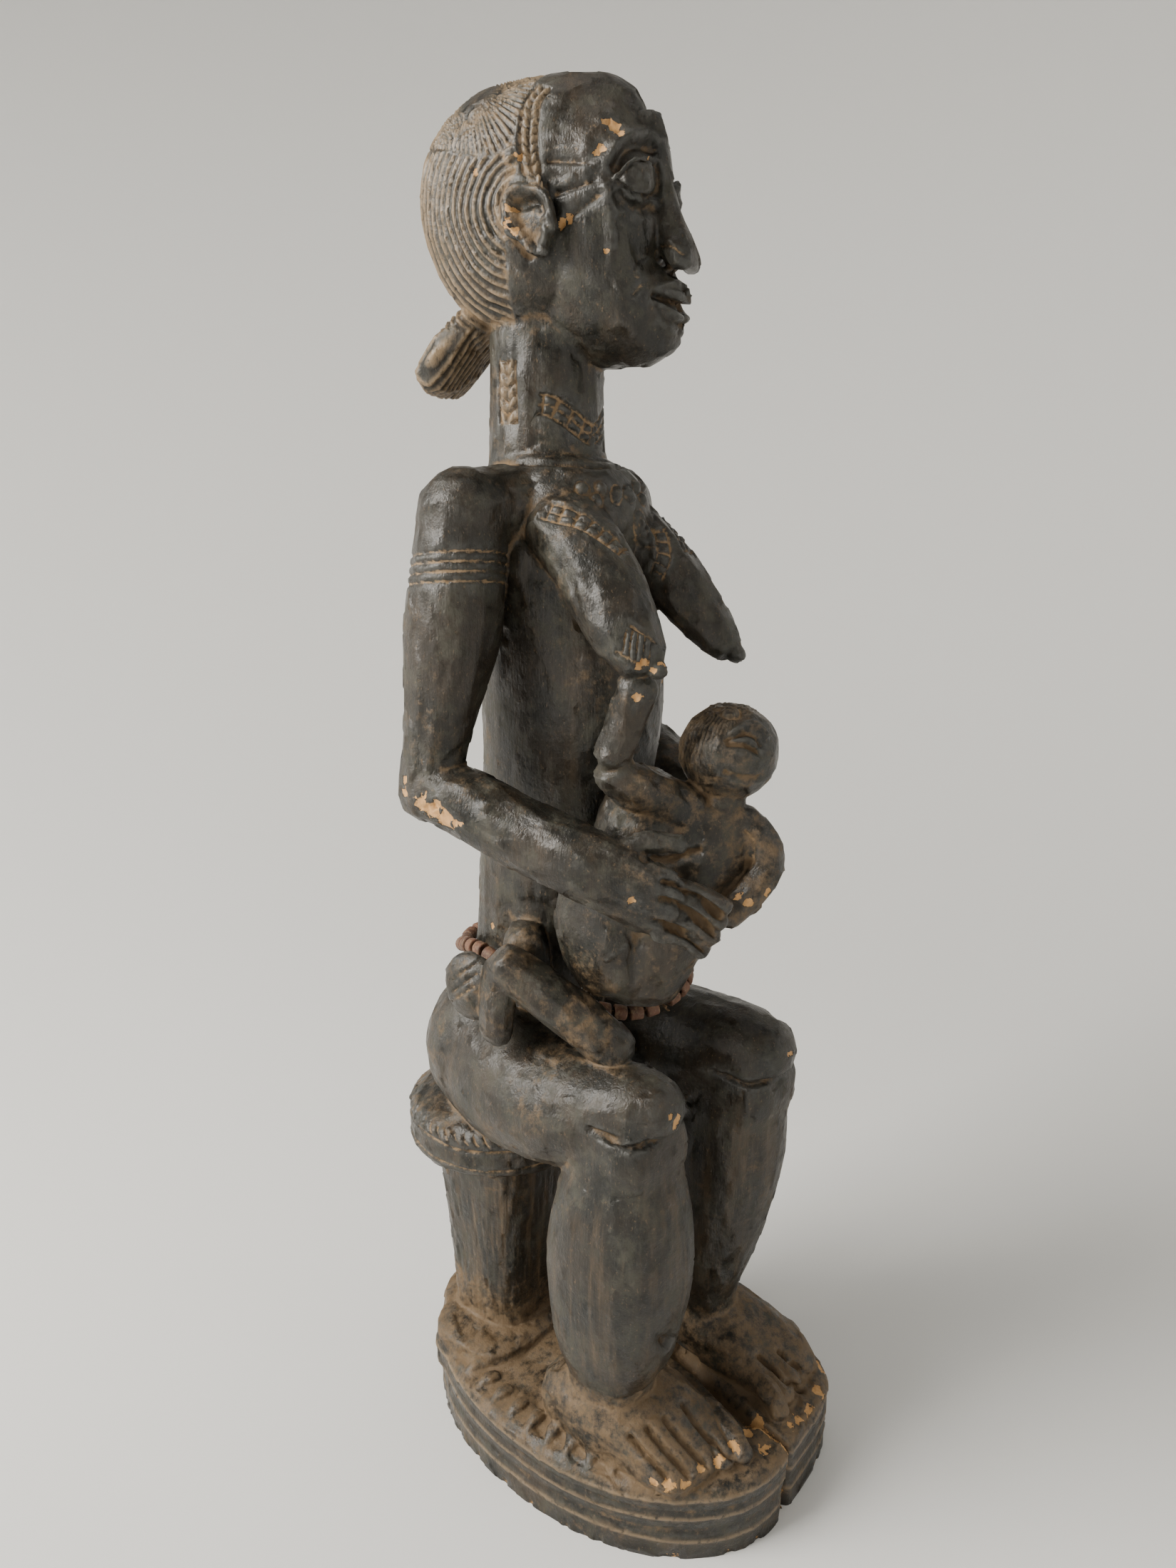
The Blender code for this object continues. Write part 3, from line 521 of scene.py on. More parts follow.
def thin(obj, triangles):
    """Thins a mesh to about the given number of triangles."""
    modifier = obj.modifiers.new("thin", "DECIMATE")
    modifier.ratio = triangles / sum(len(face.vertices) - 2 for face in obj.data.polygons)
    return applied(obj)


def mottle(places, size, seed):
    """Smooth noise from -1 to 1 over the places, with patches of about the given size."""
    lattice = np.random.default_rng(seed).uniform(-1, 1, (64, 64, 64)).astype(np.float32)
    scaled = places / size
    whole = np.floor(scaled).astype(np.int64)
    part = scaled - whole
    part = part * part * (3 - 2 * part)
    total = np.zeros(len(places), np.float32)
    for corner in range(8):
        step = np.array([corner & 1, corner >> 1 & 1, corner >> 2 & 1])
        share = np.prod(np.where(step, part, 1 - part), axis=1)
        cell = (whole + step) % 64
        total += share * lattice[cell[:, 0], cell[:, 1], cell[:, 2]]
    return total


def fade(value, start, end):
    """0 at start, 1 at end, smooth between them."""
    share = np.clip((value - start) / (end - start), 0, 1)
    return share * share * (3 - 2 * share)


MASKS = ("dust", "bare", "ridge", "film", "worn_and_sheen", "streak")


class Carving:
    """The skin as arrays: places in millimetres, outward directions, what the gouge takes away or
    leaves proud, and the masks that the finish reads."""

    def __init__(self, figure):
        self.figure = figure
        mesh = figure.data
        count = len(mesh.vertices)
        self.places = np.empty(count * 3, np.float32)
        mesh.vertices.foreach_get("co", self.places)
        self.places = self.places.reshape(-1, 3).astype(float) / MM
        self.outward = np.empty(count * 3, np.float32)
        mesh.vertex_normals.foreach_get("vector", self.outward)
        self.outward = self.outward.reshape(-1, 3).astype(float)
        self.cut = np.zeros(count)
        self.proud = np.zeros(count)
        self.masks = {name: np.zeros(count) for name in MASKS}
        self.order = np.argsort(self.places[:, 2])
        self.heights = self.places[self.order, 2]
        self.tree = BVHTree.FromObject(figure, bpy.context.evaluated_depsgraph_get())

    def box(self, low, high):
        """The vertices in a box."""
        first, last = np.searchsorted(self.heights, (low[2], high[2]))
        found = self.order[first:last]
        places = self.places[found]
        keep = ((places[:, 0] > low[0]) & (places[:, 0] < high[0])
                & (places[:, 1] > low[1]) & (places[:, 1] < high[1]))
        return found[keep]

    def seen(self, pixels, steps=8, closed=False):
        """A smooth line through pixels of the photograph, laid on the skin: rows of place and outward
        direction in millimetres."""
        pixels = list(pixels)
        if closed:
            pixels = pixels + [pixels[0]]
        line = smooth_rows(pixels, steps) if len(pixels) > 2 else np.linspace(pixels[0], pixels[1], steps * 2)
        rows = []
        for u, v in line:
            place, normal, _, _ = self.tree.ray_cast(Vector(CAMERA_PLACE), sight(u, v))
            if place is not None:
                rows.append((*(place / MM), *normal))
        return np.array(rows)

    def other_side(self, rows, mirror):
        """The same line on the other side of her head or of her body."""
        turn = math.radians(HEAD_TURN if mirror == "head" else 0.0)
        right = np.array((-math.cos(turn), -math.sin(turn), 0))
        middle = np.array((*HEAD_AXIS, 0)) if mirror == "head" else np.zeros(3)
        out = []
        for row in rows:
            place = row[:3] - 2 * np.dot(row[:3] - middle, right) * right
            found, normal, _, _ = self.tree.find_nearest(Vector(place * MM))
            out.append((*(found / MM), *normal))
        return np.array(out)

    def along(self, rows, reach):
        """For the vertices near a line: their indices, distance, share of the line and side of it."""
        found = self.box(rows[:, :3].min(0) - reach, rows[:, :3].max(0) + reach)
        places, normals = self.places[found], self.outward[found]
        best = np.full(len(found), 1e9)
        share = np.zeros(len(found))
        side = np.zeros(len(found))
        spans = len(rows) - 1
        for i in range(spans):
            a, b = rows[i, :3], rows[i + 1, :3]
            step = b - a
            length = np.linalg.norm(step)
            if length > 12 or length < 1e-6:
                continue
            t = np.clip((places - a) @ step / length ** 2, 0, 1)
            offset = places - (a + t[:, None] * step)
            normal = rows[i, 3:]
            away = np.linalg.norm(offset, axis=1)
            away = np.where(normals @ normal > 0.1, away, 1e9)
            nearer = away < best
            best = np.where(nearer, away, best)
            share = np.where(nearer, (i + t) / spans, share)
            side = np.where(nearer, np.sign(offset @ np.cross(normal, step)), side)
        keep = best < reach
        return found[keep], best[keep], share[keep], side[keep]

    def sides(self, rows, mirror):
        """The rows, and with a mirror their copy on the other side."""
        if len(rows) == 0:
            return []
        return [rows, self.other_side(rows, mirror)] if mirror else [rows]

    def groove(self, rows, width, depth, dust=0.0, ends=0.06, mirror=None):
        """Cuts a channel along a line; a depth below zero leaves a ridge proud instead."""
        for line in self.sides(rows, mirror):
            found, away, share, _ = self.along(line, width * 2.2)
            form = np.exp(-(away / width) ** 2)
            if ends:
                form *= fade(share, -ends / 3, ends) * fade(1 - share, -ends / 3, ends)
            if depth > 0:
                self.cut[found] = np.maximum(self.cut[found], depth * form)
            else:
                self.proud[found] = np.maximum(self.proud[found], -depth * form)
            self.masks["dust"][found] = np.maximum(self.masks["dust"][found], dust * form ** 3)

    def band(self, rows, half, pitch, depth, dust, rows_across=1, slope=0.0, chevron=False, mirror=None,
             crest=0.0):
        """A carved band: a groove down each edge, blocks cut across it, and lines along it between
        rows of blocks. slope slants the cuts, and a chevron bends them at the middle."""
        for line in self.sides(rows, mirror):
            length = np.linalg.norm(np.diff(line[:, :3], axis=0), axis=1).sum()
            found, away, share, side = self.along(line, half + 2.5)
            lean = away if chevron else away * side
            phase = share * length / pitch + lean * (slope or (0.8 if chevron else 0.0)) / pitch
            across = fade(1 - np.abs(np.cos(math.pi * phase)), 0.35, 0.9)
            edge = np.exp(-((away - half) / 0.9) ** 2)
            form = np.maximum(across * fade(half - away, -0.3, 0.6), edge)
            if rows_across == 2 or chevron:
                form = np.maximum(form, np.exp(-(away / 0.8) ** 2))
            ends = fade(share, 0.0, 0.03) * fade(1 - share, 0.0, 0.03)
            tops = crest * (1 - form) * ends * fade(half - away, -0.3, 0.6)
            self.masks["ridge"][found] = np.maximum(self.masks["ridge"][found], tops)
            form *= ends
            self.cut[found] = np.maximum(self.cut[found], depth * form)
            self.masks["dust"][found] = np.maximum(self.masks["dust"][found], dust * form ** 3)

    def ring(self, centre, axis, reach, width, depth, dust):
        """A groove where a plane through the centre meets the skin within reach."""
        axis = np.array(axis) / np.linalg.norm(axis)
        centre = np.array(centre, float)
        found = self.box(centre - reach, centre + reach)
        offset = self.places[found] - centre
        form = np.exp(-(offset @ axis / width) ** 2) * fade(reach - np.linalg.norm(offset, axis=1), 0, 3)
        self.cut[found] = np.maximum(self.cut[found], depth * form)
        self.masks["dust"][found] = np.maximum(self.masks["dust"][found], dust * form ** 3)

    def chip(self, row, radius):
        """A broken-out flake that shows bare wood."""
        found = self.box(row[:3] - radius * 2, row[:3] + radius * 2)
        places = self.places[found]
        away = np.linalg.norm(places - row[:3], axis=1) / radius * 1.2
        away += mottle(places, 3.4, 51) * 0.55 + mottle(places, 1.5, 52) * 0.5
        form = fade(1 - away, -0.15, 0.35)
        self.cut[found] += 0.8 * fade(form, 0.4, 0.7)
        self.masks["bare"][found] = np.maximum(self.masks["bare"][found], form)

    def adze(self, size, seed):
        """Flattens the skin a little into facets, as the adze leaves it."""
        cells = self.places / size
        home = np.floor(cells).astype(np.int64)
        jitter = np.random.default_rng(seed).uniform(0.1, 0.9, (32, 32, 32, 3))
        best = np.full(len(cells), 1e9)
        owner = np.zeros(len(cells), np.int64)
        for step in np.ndindex(3, 3, 3):
            cell = home + np.array(step) - 1
            seed_place = cell + jitter[cell[:, 0] % 32, cell[:, 1] % 32, cell[:, 2] % 32]
            away = ((cells - seed_place) ** 2).sum(axis=1)
            nearer = away < best
            best = np.where(nearer, away, best)
            name = (cell[:, 0] + 500) + (cell[:, 1] + 500) * 1000 + (cell[:, 2] + 500) * 1000000
            owner = np.where(nearer, name, owner)
        _, owner = np.unique(owner, return_inverse=True)
        count = np.bincount(owner)
        middle = np.stack([np.bincount(owner, self.places[:, k]) / count for k in range(3)], axis=1)
        facing = np.stack([np.bincount(owner, self.outward[:, k]) / count for k in range(3)], axis=1)
        facing /= np.linalg.norm(facing, axis=1)[:, None] + 1e-9
        reach = ((middle[owner] - self.places) * facing[owner]).sum(axis=1)
        slant = (self.outward * facing[owner]).sum(axis=1)
        return np.clip(reach / np.clip(slant, 0.6, 1), -0.7, 0.7) * fade(slant, 0.5, 0.8)

    def hollows(self, rounds):
        """How far each vertex lies below the mean of its surroundings, in millimetres."""
        mesh = self.figure.data
        ends = np.empty(len(mesh.edges) * 2, np.int32)
        mesh.edges.foreach_get("vertices", ends)
        a, b = ends.reshape(-1, 2).T
        places = self.places + self.outward * (self.proud - self.cut)[:, None]
        share = np.bincount(a, minlength=len(places)) + np.bincount(b, minlength=len(places)) + 1.0
        smooth = places.copy()
        out = []
        for i in range(max(rounds)):
            for k in range(3):
                column = smooth[:, k]
                total = np.bincount(a, column[b], len(column)) + np.bincount(b, column[a], len(column))
                smooth[:, k] = (total + column) / share
            if i + 1 in rounds:
                out.append(((smooth - places) * self.outward).sum(axis=1))
        return out

    def boss(self, place, radii, height, mirror=None, dust=0.5):
        """A small dome with a shallow ring cut round it. place is a row of place and direction."""
        for row in (line[0] for line in self.sides(np.array([place]), mirror)):
            centre, normal = row[:3], row[3:]
            reach = max(radii) * 1.8
            found = self.box(centre - reach, centre + reach)
            offset = self.places[found] - centre
            upward = np.array((0, 0, 1.0)) - normal * normal[2]
            upward /= np.linalg.norm(upward)
            across = np.cross(upward, normal)
            away = np.hypot(offset @ across / radii[0], offset @ upward / radii[1])
            near = (np.abs(offset @ normal) < reach) & (self.outward[found] @ normal > 0)
            dome = np.sqrt(np.clip(1 - away ** 2, 0, 1)) * near
            ring = np.exp(-((away - 1.15) / 0.2) ** 2) * near
            self.proud[found] = np.maximum(self.proud[found], height * dome)
            self.cut[found] = np.maximum(self.cut[found], height * 0.4 * ring)
            self.masks["dust"][found] = np.maximum(self.masks["dust"][found], dust * ring)

    def finish(self):
        """Moves the skin and stores the masks on it."""
        mesh = self.figure.data
        moved = self.places + self.outward * (self.proud - self.cut)[:, None]
        mesh.vertices.foreach_set("co", (moved * MM).astype(np.float32).ravel())
        mesh.update()
        for name, values in self.masks.items():
            attribute = mesh.attributes.new(name, "FLOAT", "POINT")
            attribute.data.foreach_set("value", np.clip(values, 0, 1).astype(np.float32))


def inside_outline(points, outline):
    """Which of the flat points lie inside a closed outline."""
    inside = np.zeros(len(points), bool)
    for (x0, y0), (x1, y1) in zip(outline, np.roll(outline, -1, axis=0)):
        crosses = (y0 > points[:, 1]) != (y1 > points[:, 1])
        with np.errstate(divide="ignore", invalid="ignore"):
            at = x0 + (points[:, 1] - y0) / (y1 - y0) * (x1 - x0)
        inside ^= crosses & (points[:, 0] < at)
    return inside


def outline_distance(points, outline):
    """How far the flat points lie from a closed outline."""
    best = np.full(len(points), 1e9)
    for a, b in zip(outline, np.roll(outline, -1, axis=0)):
        step = b - a
        t = np.clip((points - a) @ step / max(step @ step, 1e-9), 0, 1)
        best = np.minimum(best, np.linalg.norm(points - a - t[:, None] * step, axis=1))
    return best


def head_frame(places):
    """Head coordinates of places: forward, to her right, and height."""
    turn = math.radians(HEAD_TURN)
    flat = places - np.array((*HEAD_AXIS, 0))
    forward = flat @ np.array((math.sin(turn), -math.cos(turn), 0))
    right = flat @ np.array((-math.cos(turn), -math.sin(turn), 0))
    return forward, right, flat[:, 2]


# Hairline and edge between the two fields of hair, in head coordinates, and how the cuts are spaced
HAIRLINE_HEIGHTS = (684, 705, 722, 745, 757, 768, 777, 789, 798, 806)
HAIRLINE_FORWARD = (-8, -6, -5, 1, 2, 0, 0, 2, 5, 7)
BORDER_FORWARD = (-62, -44, -33, -24, -12, 4)
BORDER_HEIGHTS = (774, 770, 767, 764.5, 763, 768)
WHORL = (-28, 26, 793)
SKULL_MIDDLE = (-10, 0, 750)
FAN_CUTS = 62
EAR_MIDDLE = (4, 740)
COMB_PITCH = 4.3


def comb_hair(carving, depth):
    """Parallel gouge cuts: a fan from the whorl at the back of the crown, and below it cuts that
    run round the ear down to the nape."""
    found = carving.box((-90, -40, 676), (90, 150, 820))
    forward, right, height = head_frame(carving.places[found])
    side = np.abs(right)
    hairline = np.interp(height, HAIRLINE_HEIGHTS, HAIRLINE_FORWARD)
    border = np.interp(forward, BORDER_FORWARD, BORDER_HEIGHTS)
    behind = fade(hairline - forward, -0.5, 1.5)
    on_skull = fade(height, 684, 690)
    upper = fade(height - border, -0.6, 0.6) * behind * on_skull
    lower = fade(border - height, 0.6, 1.8) * behind * on_skull
    # the fan on each side: its turns are counted round an axis through the whorl
    axis = np.array(WHORL, float) - SKULL_MIDDLE
    axis /= np.linalg.norm(axis)
    local = np.stack((forward, side, height), axis=1) - SKULL_MIDDLE
    lift = np.cross(axis, (0, 1, 0))
    lift /= np.linalg.norm(lift)
    around = np.arctan2(local @ np.cross(axis, lift), local @ lift)
    spread = np.linalg.norm(local - (local @ axis)[:, None] * axis, axis=1)
    fan = around / (2 * math.pi) * FAN_CUTS + mottle(carving.places[found], 16.0, 5) * 0.22
    rings = np.hypot(forward - EAR_MIDDLE[0], height - EAR_MIDDLE[1])
    rings = rings / COMB_PITCH + mottle(carving.places[found], 18.0, 6) * 0.25
    for phase, where in ((fan, upper * fade(spread, 8, 16)), (rings, lower)):
        swing = np.abs(np.cos(math.pi * phase))
        channel = 1 - swing ** 4
        channel = np.clip(channel * 1.25, 0, 1)
        carving.cut[found] += depth * channel * where
        crest = fade(1 - channel, 0.25, 0.8) * where
        carving.masks["ridge"][found] = np.maximum(carving.masks["ridge"][found], crest)
    groove = np.exp(-((height - border) / 1.1) ** 2) * behind
    carving.cut[found] = np.maximum(carving.cut[found], 1.3 * groove)


# Lines measured in pixels of the photograph, each named for what the carver cut there

PLAIT = [(765, 118), (747, 140), (742, 170), (741, 200), (745, 232), (757, 262)]
HAIR_LOWER_EDGE = [(700, 320), (707, 357), (708, 400), (709, 446), (686, 466)]
EAR_BOSS = (717, 215)

TEMPLE_CUTS = [
    [(765, 225), (794, 225.5), (829, 228)],
    [(771.5, 275.6), (805, 263.6), (838.5, 249)],
    [(778, 325), (810, 296), (849, 267.6)],
]
TEMPLE_RIDGES = [
    [(762, 213), (794, 207), (832, 210)],
    [(767.5, 267.6), (794, 253), (808, 245)],
]
BROW = [(846, 244), (856, 221), (869, 200), (891, 188), (912, 190), (926, 206)]
SOCKET = [(858, 243), (872, 219), (888, 205), (908, 205), (922, 214)]
LID = [(865, 257), (877, 234), (899, 221), (917, 225)]
EYE = [(865, 257), (877, 236), (899, 224), (918, 228), (924, 245), (923, 267), (910, 278), (891, 275),
       (876, 264)]
EYE_MIDDLE = (897, 249)
EYE_DEPTH = [(880, 256), (912, 250)]
UNDER_EYE = [(860, 268), (878, 288), (900, 296), (922, 288)]
CHEEK_RIDGE = [(848, 256), (854, 276), (858, 325), (858, 352)]
CHEEK_HOLLOW = [(880, 296), (892, 330), (905, 368)]
NOSE_WING_TOP = [(924, 347), (942, 345), (963, 357)]
NOSE_WING_BACK = [(921, 350), (920, 362), (930, 374)]
NOSTRIL = [(936, 378), (950, 382), (962, 388)]
UPPER_LIP_TOP = [(912, 411), (942, 402), (962, 408)]
UPPER_LIP = [(916, 409), (938, 400), (956, 403), (966, 416)]
LOWER_LIP = [(924, 427), (944, 440), (962, 450)]
MOUTH_GAP = [(915, 412), (930, 418), (948, 426), (966, 436)]
LOWER_LIP_UNDER = [(920, 424), (938, 446), (962, 458)]
MOUTH_RING = (895, 383)
MOUTH_SLIT = [(886, 417), (903, 397)]
EAR_RIM = [(705, 272), (711, 264), (725, 258), (742, 258), (756, 264), (766, 278), (777, 318), (779, 333),
           (776, 346), (768, 356), (756, 358), (739, 350), (725, 335), (714, 318), (706, 298)]
EAR_FACE = 52.5

NECK_BAND_TOP = [(757, 556), (778, 556), (807, 575), (830, 594), (840, 600)]
NECK_BAND_FOOT = [(749, 577), (772, 585), (796, 600), (817, 617), (826, 621)]
NAPE_RIDGE = [(709, 504), (710, 550), (711, 597)]
SHOULDER_EDGE = [(659, 654), (720, 650), (790, 651), (855, 655)]
CHEST_BAND_TOP = [(765, 702), (786, 706), (819, 716), (844, 733), (865, 749), (883, 768)]
CHEST_BAND_FOOT = [(757, 724), (782, 733), (809, 740), (832, 751), (852, 766), (875, 787)]
CHEST_BOSSES = [(817, 685), (844, 685), (867, 691), (886, 696), (902, 700)]
BREASTBONE_BOSS = (898, 740)
FAR_BAND = [(923, 738), (931, 756), (932, 780), (924, 800), (919, 812)]
BREAST_PATCH = [(872, 895), (886, 903), (902, 912), (918, 922)]

CHILD_EYE = (1025, 999)
CHILD_EYE_CORNER = [(999, 1003), (1004, 996), (1010, 992)]
CHILD_BROW = [(1024, 1032), (1038, 1020), (1053, 1016), (1068, 1024), (1078, 1035)]
CHILD_LID = [(1015, 1041), (1030, 1033), (1047, 1029), (1062, 1034), (1070, 1050)]
CHILD_UNDER_LID = [(1017, 1043), (1047, 1046), (1069, 1058)]
CHILD_PIT = (1057, 1078)
CHILD_CHIN = [(1012, 1082), (1040, 1092), (1068, 1092)]

THUMB_UNDER = [(896, 1203), (937, 1207), (960, 1199), (988, 1194)]
FINGER_CUTS = [
    [(925, 1236), (958, 1246), (990, 1268), (1016, 1290)],
    [(922, 1262), (956, 1274), (988, 1297), (1006, 1318)],
    [(914, 1292), (950, 1306), (976, 1326), (994, 1340)],
]
CHILD_ELBOW = [(1044, 1163), (1058, 1182), (1056, 1213)]
CHILD_HIP = [(848, 1349), (866, 1336), (881, 1324)]
CHILD_TOES = [
    [(676, 1345), (652, 1362), (634, 1376)],
    [(672, 1364), (650, 1380), (634, 1392)],
    [(668, 1383), (648, 1396), (632, 1406)],
]

TOE_CUTS = [
    [(906, 2000), (936, 2036), (972, 2074)],
    [(930, 1986), (962, 2026), (1000, 2062)],
    [(956, 1966), (990, 2012), (1032, 2048)],
    [(880, 2014), (906, 2042), (940, 2078)],
]
FAR_TOE_CUTS = [
    [(1063, 1900), (1098, 1932), (1127, 1954)],
    [(1091, 1893), (1114, 1914), (1130, 1925)],
]
FEET_GAP = [(929, 1878), (975, 1916), (1020, 1962), (1060, 1999)]

# Places where the wood is chipped: the pixel, and the chip's radius in millimetres
CHIPS = [
    ((850, 170), 3), ((862, 178), 5), ((870, 186), 3), ((843, 208), 2.5), ((836, 213), 2),
    ((912, 220), 3), ((708, 290), 3), ((706, 312), 4), ((718, 328), 3), ((788, 312), 3),
    ((798, 306), 3), ((665, 241), 2), ((728, 218), 2.5), ((896, 935), 3), ((904, 930), 3),
    ((930, 930), 3), ((918, 941), 2), ((937, 945), 3), ((929, 958), 3), ((894, 980), 3),
    ((566, 1094), 4), ((568, 1112), 3.5), ((592, 1128), 6.5), ((606, 1140), 7), ((624, 1150), 6.5),
    ((640, 1156), 4), ((612, 1128), 4), ((1036, 1258), 3), ((1050, 1266), 3), ((1077, 1255), 3),
    ((887, 1263), 3), ((950, 1575), 5), ((941, 1566), 3), ((1110, 1480), 4), ((586, 560), 3),
    ((612, 562), 3), ((640, 566), 3), ((850, 352), 2), ((690, 1298), 3), ((640, 1960), 3),
    ((1152, 1918), 5), ((1149, 1950), 5.5), ((1136, 1976), 5), ((1110, 1999), 4), ((1074, 2030), 5),
    ((915, 2080), 4), ((940, 2088), 5), ((962, 2084), 4), ((985, 2062), 4), ((1010, 2050), 5),
    ((1030, 2030), 5), ((1048, 2012), 4), ((1066, 1992), 4), ((1120, 1990), 4), ((1148, 1890), 3),
    ((1060, 2000), 3),
]


# The split in the base's front, how deep it goes, and the size of the adze's facets, in millimetres
CRACK_PLACE = (5.0, -120.0)
CRACK_DEPTH = 11.0
ADZE_FACETS = 14.0


def carve_head(carving):
    """Hair, plait, temple cuts, brow, eyes, nose, lips, ears and bun."""
    comb_hair(carving, 1.5)
    line = carving.seen
    carving.band(line(PLAIT), 4.2, 5.0, 1.9, 0.1, chevron=True, mirror="head", crest=0.9)
    for cut in (HAIR_LOWER_EDGE,):
        carving.groove(line(cut), 1.3, 1.0, 0.3, mirror="head")
    carving.boss(line([EAR_BOSS] * 2, 1)[0], (4.2, 4.2), 1.6, mirror="head")
    for cut in TEMPLE_CUTS:
        carving.groove(line(cut), 1.4, 1.8, 0.5, mirror="head")
    for cut in TEMPLE_RIDGES:
        carving.groove(line(cut), 1.4, -0.7, 0.25, mirror="head")
    carving.groove(line(BROW), 3.0, -2.4, mirror="head")
    carving.groove(line(SOCKET), 3.0, 3.6, 0.0, mirror="head")
    carving.groove(line(EYE, closed=True), 1.5, 3.2, 0.1, ends=0.0, mirror="head")
    carving.groove(line(LID), 1.2, -1.8, mirror="head")
    carving.groove(line(EYE_DEPTH), 6.0, 3.4, mirror="head")
    carving.boss(line([EYE_MIDDLE] * 2, 1)[0], (7.5, 5.0), 1.4, mirror="head", dust=0.0)
    carving.groove(line(UNDER_EYE), 3.0, 3.0, 0.0, mirror="head")
    carving.groove(line(CHEEK_RIDGE), 3.0, -2.6, mirror="head")
    carving.groove(line(CHEEK_HOLLOW), 7.0, 3.2, mirror="head")
    carving.groove(line(NOSE_WING_TOP), 1.0, 1.2, 0.7, mirror="head")
    carving.groove(line(NOSE_WING_BACK), 1.0, 1.2, 0.5, mirror="head")
    carving.groove(line(NOSTRIL), 2.8, 5.0, 0.0, mirror="head")
    carving.groove(line(UPPER_LIP), 2.2, -1.8, mirror="head")
    carving.groove(line(LOWER_LIP), 2.2, -1.6, mirror="head")
    carving.groove(line(MOUTH_GAP), 1.8, 6.5, 0.0, ends=0.03, mirror="head")
    carving.groove(line(UPPER_LIP_TOP), 1.1, 1.4, 0.1, mirror="head")
    carving.groove(line(LOWER_LIP_UNDER), 2.4, 2.6, 0.0, mirror="head")
    carving.groove(line(MOUTH_SLIT), 0.9, 0.9, 0.6, mirror="head")
    carving.boss(line([MOUTH_RING] * 2, 1)[0], (2.0, 2.0), 0.7, mirror="head")
    carve_ears(carving)
    # the bun's strands
    found = carving.box((-90, 60, 645), (90, 160, 698))
    forward, right, height = head_frame(carving.places[found])
    on_bun = fade(-forward, 31, 36) * fade(690 - height, 0, 6)
    swing = np.abs(np.cos(math.pi * (right / 4.4 + mottle(carving.places[found], 14.0, 9) * 0.3)))
    carving.cut[found] += 1.2 * on_bun * (1 - swing ** 3)
    carving.masks["ridge"][found] = np.maximum(carving.masks["ridge"][found], on_bun * fade(swing, 0.6, 0.95))


def carve_ears(carving):
    """Each ear as a flat leaf with a raised rim, a dish inside it and a deep hollow near its top."""
    rim_forward, _, rim_height = head_frame(carving.seen(EAR_RIM, steps=3, closed=True)[:, :3])
    outline = np.stack((rim_forward, rim_height), axis=1)[:-1]
    found = carving.box((-90, -40, 706), (90, 120, 758))
    forward, right, height = head_frame(carving.places[found])
    turn = math.radians(HEAD_TURN)
    facing = carving.outward[found] @ np.array((-math.cos(turn), -math.sin(turn), 0)) * np.sign(right)
    points = np.stack((forward, height), axis=1)
    inside = inside_outline(points, outline) & (np.abs(right) > 43) & (facing > 0.15)
    inner = outline_distance(points, outline)
    dish = 3.4 * fade(inner, 1.4, 4.0)
    hollow = 6.5 * np.exp(-((forward - 7) / 9.5) ** 2 - ((height - 741 - (forward - 7) * 0.12) / 3.6) ** 2)
    tragus = 2.2 * np.exp(-((forward - 19) ** 2 + (height - 731) ** 2) / 7.0)
    level = EAR_FACE - dish - hollow * fade(inner, 1.2, 3.0) + tragus
    lift = np.clip((level - np.abs(right)) / np.clip(facing, 0.35, 1), -9.0, 1.6)
    carving.cut[found[inside]] = -lift[inside]
    carving.proud[found[inside]] = 0
    deep = fade(hollow, 0.6, 2.6)
    carving.masks["dust"][found[inside]] = (0.30 * fade(inner, 2, 5) * (1 - deep))[inside]
    carving.masks["film"][found[inside]] += (0.42 - 0.9 * deep)[inside]
    outer = (~inside) & (np.abs(right) > 43) & (inner < 6)
    groove = 1.8 * np.exp(-((inner - 2.6) / 1.4) ** 2)
    carving.cut[found[outer]] = np.maximum(carving.cut[found[outer]], groove[outer])


def carve_body(carving):
    """The raised bands, bosses, armlet rings and knee folds."""
    line = carving.seen
    band = line([tuple(np.mean(pair, axis=0)) for pair in zip(NECK_BAND_TOP, NECK_BAND_FOOT)])
    carving.band(band, 4.8, 7.5, 2.2, 0.75, rows_across=2, mirror="body")
    carving.band(line(NAPE_RIDGE), 6.0, 6.4, 2.6, 0.35, chevron=True, slope=0.9, crest=0.8)
    carving.groove(line(SHOULDER_EDGE), 1.8, 1.6, 0.1, mirror="body")
    band = line([tuple(np.mean(pair, axis=0)) for pair in zip(CHEST_BAND_TOP, CHEST_BAND_FOOT)])
    carving.band(band, 5.0, 7.5, 2.2, 0.75, rows_across=2, mirror="body")
    for place in CHEST_BOSSES:
        carving.boss(line([place] * 2, 1)[0], (3.6, 3.6), 2.3, mirror="body", dust=0.25)
    middle = line([BREASTBONE_BOSS] * 2, 1)[0]
    carving.boss(middle, (5.0, 9.0), 1.8, dust=0.25)
    carving.boss(middle, (2.4, 4.6), 2.8, dust=0.2)
    carving.band(line(FAR_BAND), 3.8, 6.0, 1.8, 0.6)
    carving.band(line(BREAST_PATCH), 7.5, 4.0, 1.7, 0.6, slope=0.4)
    for side in (1, -1):
        for height in (576.0, 571.0, 566.0, 561.0):
            carving.ring((-79 * side, 51, height - 3), (side * 0.12, 0.12, 1.0), 33, 0.9, 1.2, 0.6)
    carving.ring((-49, -58, 269), (0, -0.15, 1.0), 36, 1.7, 3.4, 0.0)
    carving.ring((54, -68, 264), (0, -0.15, 1.0), 36, 1.7, 3.4, 0.0)


